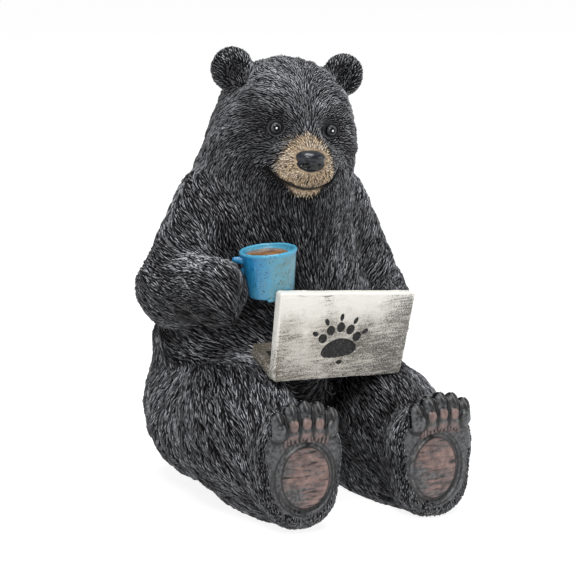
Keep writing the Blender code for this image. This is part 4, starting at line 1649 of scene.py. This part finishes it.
# Grey of the painted shade down the lid's right side
RIGHT_SIDE_SHADE = (0.115, 0.11, 0.10)
TRACK_PAINT = (0.005, 0.005, 0.005)
TRACK_WORN = (0.055, 0.055, 0.055)
DARK_PAINT = (0.008, 0.008, 0.009)
DARK_WORN = (0.035, 0.034, 0.033)

# Room
FLOOR_DIM = (0.27, 0.27, 0.27)
FLOOR_PALE = (0.30, 0.30, 0.30)


def fur_finish():
    finish = Finish("Dry-brushed fur", roughness=0.5, specular=0.25)
    crest = finish.power(finish.ramp("crest", 0.42, 1.0), 1.25)
    # The grey of the dry-brushing, which carries painted shade and painted highlight, goes on the crests
    amount = finish.times(crest, finish.ramp("brush_and_shade", 0, 1.3, 0.05, 1.28))
    uneven = finish.power("tone", 1.8)
    amount = finish.times(amount, finish.ramp(uneven, 0, 1, 0.14, 1.7))
    grain = finish.ramp(finish.grain(1600), 0.3, 0.7, 0.5, 1.2)
    amount = finish.times(amount, grain)
    amount = finish.times(amount, finish.ramp("soft", 0, 1, 1, 0.72))
    # The underpaint pales with the same dry-brushing, painted shade and painted highlight
    under = finish.mix("brush_and_shade", CHARCOAL, finish.mix("soft", THIN_GREY, CROWN_GREY))
    black = finish.mix(amount, under, BRUSHED_GREY)
    rim = finish.mix("rim", black, finish.mix(amount, SOLE_GREY, BRUSHED_GREY))
    light = finish.ramp("tone", 0.25, 0.45)
    pale = finish.mix(finish.ramp(finish.grain(180), 0.42, 0.62), TAN, CREAM)
    tan = finish.mix(finish.times(finish.ramp(crest, 0.0, 0.5), light), TAN_DARK, pale)
    finish.colour(finish.mix("tan", rim, tan))
    return finish.material


def skin_finish():
    finish = Finish("Black underpaint", roughness=0.6, specular=0.08)
    rise = finish.ramp("rise", 0.3, 0.9)
    thin = finish.mix("soft", THIN_GREY, CROWN_GREY)
    # Grey on the locks' crests, weighed by the dry-brushing with its painted shade and painted highlight
    black = finish.mix(finish.times(rise, "brush_and_shade"), BLACK, thin)
    tan = finish.mix(finish.ramp(finish.grain(900), 0.35, 0.65), MUZZLE_DARK, MUZZLE_SKIN)
    painted = finish.mix("tan", black, tan)
    finish.colour(finish.mix("mouth", painted, BLACK))
    finish.bump(finish.grain(900), 0.3, 0.0003)
    return finish.material


def sole_finish():
    finish = Finish("Painted soles", roughness=0.42)
    worn = finish.ramp(finish.grain(900, 5.0), 0.36, 0.66)
    grey = finish.mix(worn, SOLE_DARK, SOLE_WORN)
    pink = finish.mix(finish.ramp(finish.grain(500), 0.3, 0.7), PINK_DARK, SOLE_PINK)
    painted = finish.mix("pink", grey, pink)
    # Black for the claws' paint and for painted shade in the grooves, creases, crevices and toe gaps
    finish.colour(finish.mix(finish.ramp("dark", 0.1, 0.9), painted, CREVICE))
    finish.bump(finish.grain(1500), 0.25, 0.0002)
    return finish.material


def eye_finish():
    finish = Finish("Painted eyes", roughness=0.15, specular=0.2)
    spokes = finish.ramp(finish.grain(1800), 0.35, 0.65)
    iris = finish.mix(spokes, IRIS_DARK, IRIS_LIGHT)
    pupil = finish.mix(finish.ramp("off_axis", 0.27, 0.38), PUPIL, iris)
    edge = finish.mix(finish.ramp("off_axis", 0.50, 0.60), pupil, PUPIL)
    finish.colour(finish.mix(finish.ramp("off_axis", 0.105, 0.085), edge, GLINT))
    return finish.material


def nose_finish():
    finish = Finish("Nose leather", roughness=0.2, specular=0.4)
    worn = finish.ramp(finish.grain(600), 0.35, 0.7)
    leather = finish.mix(worn, NOSE_BLUE, NOSE_WORN)
    # Painted shade in the nostrils
    finish.colour(finish.mix("nostril", leather, PUPIL))
    finish.bump(finish.grain(1400), 0.35, 0.0003)
    return finish.material


def socket_finish():
    finish = Finish("Eyelids", roughness=0.5, specular=0.12)
    dull = finish.mix(finish.ramp(finish.grain(1800), 0.35, 0.7), LID_DULL, LID_WORN)
    lined = finish.mix("lid", dull, LID_LINE)
    # Painted highlight along the crease under each eye
    finish.colour(finish.mix("crease_highlight", lined, LID_HIGHLIGHT))
    finish.bump(finish.grain(2200), 0.4, 0.0003)
    return finish.material


def glaze_finish():
    # Blue paint with random paler patches and dark specks. Painted shade deepens the blue down the side by
    # the paw, a painted reflection greys it down the middle, and a painted highlight pales the rim
    finish = Finish("Speckled blue glaze", roughness=0.3)
    where = finish.place()
    apart = finish.node("ShaderNodeSeparateXYZ", {0: where}).outputs
    brushed = finish.grain(420, 5.0, finish.place((1, 1, 0.35)))
    # The place along X across the mug, roughened by brushed grain, sets where the painted light lies
    uneven = finish.plus(apart["X"], finish.ramp(brushed, 0, 1, -0.004, 0.004))
    # Painted shade: deeper blue towards the side by the paw
    base = finish.mix(finish.ramp(uneven, -0.0305, -0.0235), GLAZE_SHADE, GLAZE)
    # Painted reflection: a grey-green band down the middle, broken by grain
    middle = finish.times(finish.ramp(uneven, -0.0290, -0.0225), finish.ramp(uneven, -0.0130, -0.0190))
    wash_and_painted_light = finish.times(middle, finish.ramp(finish.grain(520, 5.0), 0.36, 0.62, 0.2, 1.0))
    base = finish.mix(wash_and_painted_light, base, GLAZE_REFLECTION)
    # Random paler patches
    base = finish.mix(finish.ramp(finish.grain(650, 4.0), 0.5, 0.75, 0, 0.5), base, GLAZE_RIM)
    # Painted highlight along the rim
    base = finish.mix(finish.ramp(apart["Z"], 0.0862, 0.0872), base, GLAZE_RIM)
    specks = finish.node("ShaderNodeTexVoronoi", {"Vector": where, "Scale": 1300.0}).outputs["Distance"]
    some = finish.ramp(finish.grain(520), 0.44, 0.50)
    speck = finish.times(finish.ramp(specks, 0.29, 0.20), some)
    finish.colour(finish.mix(speck, base, SPECK))
    finish.bump(finish.plus(brushed, finish.grain(1100)), 0.35, 0.0003)
    return finish.material


def coffee_finish():
    finish = Finish("Painted coffee", roughness=0.12)
    finish.colour(finish.mix(finish.ramp(finish.grain(260), 0.35, 0.65), COFFEE_DARK, COFFEE_LIGHT))
    finish.bump(finish.grain(350), 0.3, 0.0004)
    return finish.material


def silver_finish():
    """Worn silver paint, washed brown low down, most to the left, and round the track. Painted shade greys
    the right side and darkens the deck, a painted highlight pales the top, and the edges are paler.
    """
    finish = Finish("Weathered silver", roughness=0.42)
    finish.feed(finish.shader.inputs["Metallic"], 0.2)
    streaks = finish.ramp(finish.grain(1500, 5.0, finish.place((0.12, 1, 1))), 0.32, 0.68)
    patches = finish.grain(110, 6.0)
    sand = finish.ramp(finish.grain(3400, 3.0), 0.38, 0.66)
    low = finish.ramp("up", 0.75, 0.0, 0.0, 0.80)
    corner = finish.times(low, finish.ramp("right", 0.5, 0.0, 0.35, 1.0))
    # Painted shade down the right side, less towards the top
    right = finish.ramp("right", 0.35, 1.0, 0.0, 0.62)
    right = finish.times(right, finish.ramp("up", 0.95, 0.60, 0.2, 1.0))
    near = finish.ramp("round_track", 0, 1, 0.0, 0.22)
    amount = finish.plus(corner, right)
    amount = finish.plus(amount, near)
    # Painted shade on the deck
    amount = finish.plus(amount, finish.ramp("deck", 0, 1, 0, 0.3))
    amount = finish.plus(amount, finish.ramp(patches, 0.35, 0.7, -0.18, 0.40))
    amount = finish.times(amount, finish.ramp(streaks, 0, 1, 0.35, 1.45))
    amount = finish.times(amount, finish.ramp(sand, 0, 1, 0.30, 1.8))
    amount = finish.minus(amount, finish.ramp("edge", 0.55, 1, 0, 0.35))
    # Painted highlight: less of the washed colour along the top
    amount = finish.minus(amount, finish.ramp("up", 0.72, 0.95, 0, 0.14))
    # Paler along the edges, and along the top as painted highlight
    edges_and_lit_top = finish.maths("MAXIMUM", finish.ramp("edge", 0.5, 1.0), finish.ramp("up", 0.6, 0.95))
    silver_and_highlight = finish.mix(edges_and_lit_top, SILVER, SILVER_BRIGHT)
    silver_and_highlight = finish.mix(finish.ramp(streaks, 0.2, 0.8, 0.0, 0.5), silver_and_highlight, SILVER_BRIGHT)
    # Washed brown on the left, turning to the grey of painted shade on the right
    wash_and_painted_light = finish.mix(finish.ramp("right", 0.25, 0.8), SILVER_WASH, RIGHT_SIDE_SHADE)
    silver = finish.mix(finish.ramp(amount, 0.03, 0.68), silver_and_highlight, wash_and_painted_light)
    outline = finish.ramp("seam", 0.35, 0.75)
    outline = finish.times(outline, finish.ramp(patches, 0.42, 0.58, 0.1, 0.8))
    silver = finish.mix(outline, silver, SILVER_WASH)
    paint = finish.mix(finish.ramp(finish.grain(1100), 0.5, 0.72), TRACK_PAINT, TRACK_WORN)
    in_track = finish.ramp("track", 0.47, 0.53)
    finish.colour(finish.mix(in_track, silver, paint))
    finish.feed(finish.shader.inputs["Roughness"], finish.ramp(in_track, 0, 1, 0.42, 0.2))
    finish.bump(finish.plus(streaks, sand), 0.35, 0.0003)
    return finish.material


def dark_finish(name, roughness):
    finish = Finish(name, roughness=roughness)
    finish.colour(finish.mix(finish.ramp(finish.grain(800), 0.3, 0.7), DARK_PAINT, DARK_WORN))
    finish.bump(finish.grain(1300), 0.4, 0.0003)
    return finish.material


# The room

LIGHTS = (
    ("key_light", (-0.40, -0.60, 0.70), 0.30, 5.0),
    ("fill_light", (0.75, -0.45, 0.35), 0.5, 1.5),
    ("top_light", (0.05, -0.10, 0.95), 0.45, 6.5))


def make_room():
    make_floor()
    make_lights()
    make_camera()
    bpy.context.scene.view_settings.view_transform = "Standard"


def make_floor():
    bpy.ops.mesh.primitive_plane_add(size=14)
    floor = bpy.context.object
    floor.name = "floor"
    paper = Finish("Pale floor", roughness=0.9, specular=0.0)
    paper.colour(paper.mix(paper.grain(3), FLOOR_DIM, FLOOR_PALE))
    paper.feed(paper.shader.inputs["Emission Color"], (1.0, 1.0, 1.0))
    paper.feed(paper.shader.inputs["Emission Strength"], 0.88)
    floor.data.materials.append(paper.material)


def make_lights():
    """A pale studio and three soft lights, each as its name, its place, its size and its power."""
    world = bpy.data.worlds.new("Studio")
    world.use_nodes = True
    world.node_tree.nodes["Background"].inputs["Color"].default_value = (1, 1, 1, 1)
    world.node_tree.nodes["Background"].inputs["Strength"].default_value = 0.35
    bpy.context.scene.world = world
    for name, place, size, power in LIGHTS:
        light = bpy.data.lights.new(name, "AREA")
        light.size = size
        light.energy = power
        item = bpy.data.objects.new(name, light)
        item.location = place
        aim = Vector((0, 0, 0.07)) - Vector(place)
        item.rotation_euler = aim.to_track_quat("-Z", "Y").to_euler()
        bpy.context.scene.collection.objects.link(item)


def make_camera():
    camera = bpy.data.objects.new("camera", bpy.data.cameras.new("camera"))
    camera.data.lens = CAMERA_LENS
    camera.data.sensor_width = 36
    camera.data.clip_start = 0.05
    level = math.cos(CAMERA_ABOVE)
    back = Vector((-math.sin(CAMERA_ROUND) * level, -math.cos(CAMERA_ROUND) * level, math.sin(CAMERA_ABOVE)))
    camera.location = CAMERA_AIM + back * CAMERA_AWAY
    camera.rotation_euler = back.to_track_quat("Z", "Y").to_euler()
    bpy.context.scene.collection.objects.link(camera)
    bpy.context.scene.camera = camera


def main():
    make_room()
    skin = make_skin()
    points = points_of(skin.data)
    mark(skin.data, "tan", tan_share(points))
    mark(skin.data, "mouth", mouth_share(points))
    # Dry-brushing with painted shade and painted highlight in it, for the skin's finish
    mark(skin.data, "brush_and_shade", brush_and_shade_share(points, normals_of(skin.data)))
    mark(skin.data, "soft", crown_share(points))
    fur_paint = fur_finish()
    for piece in make_fur(skin):
        finish_piece(piece, fur_paint)
    finish_piece(skin, skin_finish(), "bear")
    sole_paint = sole_finish()
    for side, reach in LEGS:
        finish_piece(make_sole(side, reach), sole_paint)
    eye_paint = eye_finish()
    socket_paint = socket_finish()
    for side, eye in EYES:
        finish_piece(make_eye(side, eye), eye_paint)
        finish_piece(make_eye_socket(side, eye), socket_paint)
    finish_piece(make_nose(), nose_finish())
    finish_piece(make_mouth(), dark_finish("Mouth line", 0.6))
    glaze = glaze_finish()
    finish_piece(make_mug(), glaze, "mug")
    finish_piece(make_handle(), glaze)
    finish_piece(make_coffee(), coffee_finish())
    finish_piece(make_laptop(), silver_finish(), "laptop")
    finish_piece(make_screen(), dark_finish("Screen", 0.2))
    finish_piece(make_keys(), dark_finish("Keys", 0.5))


main()
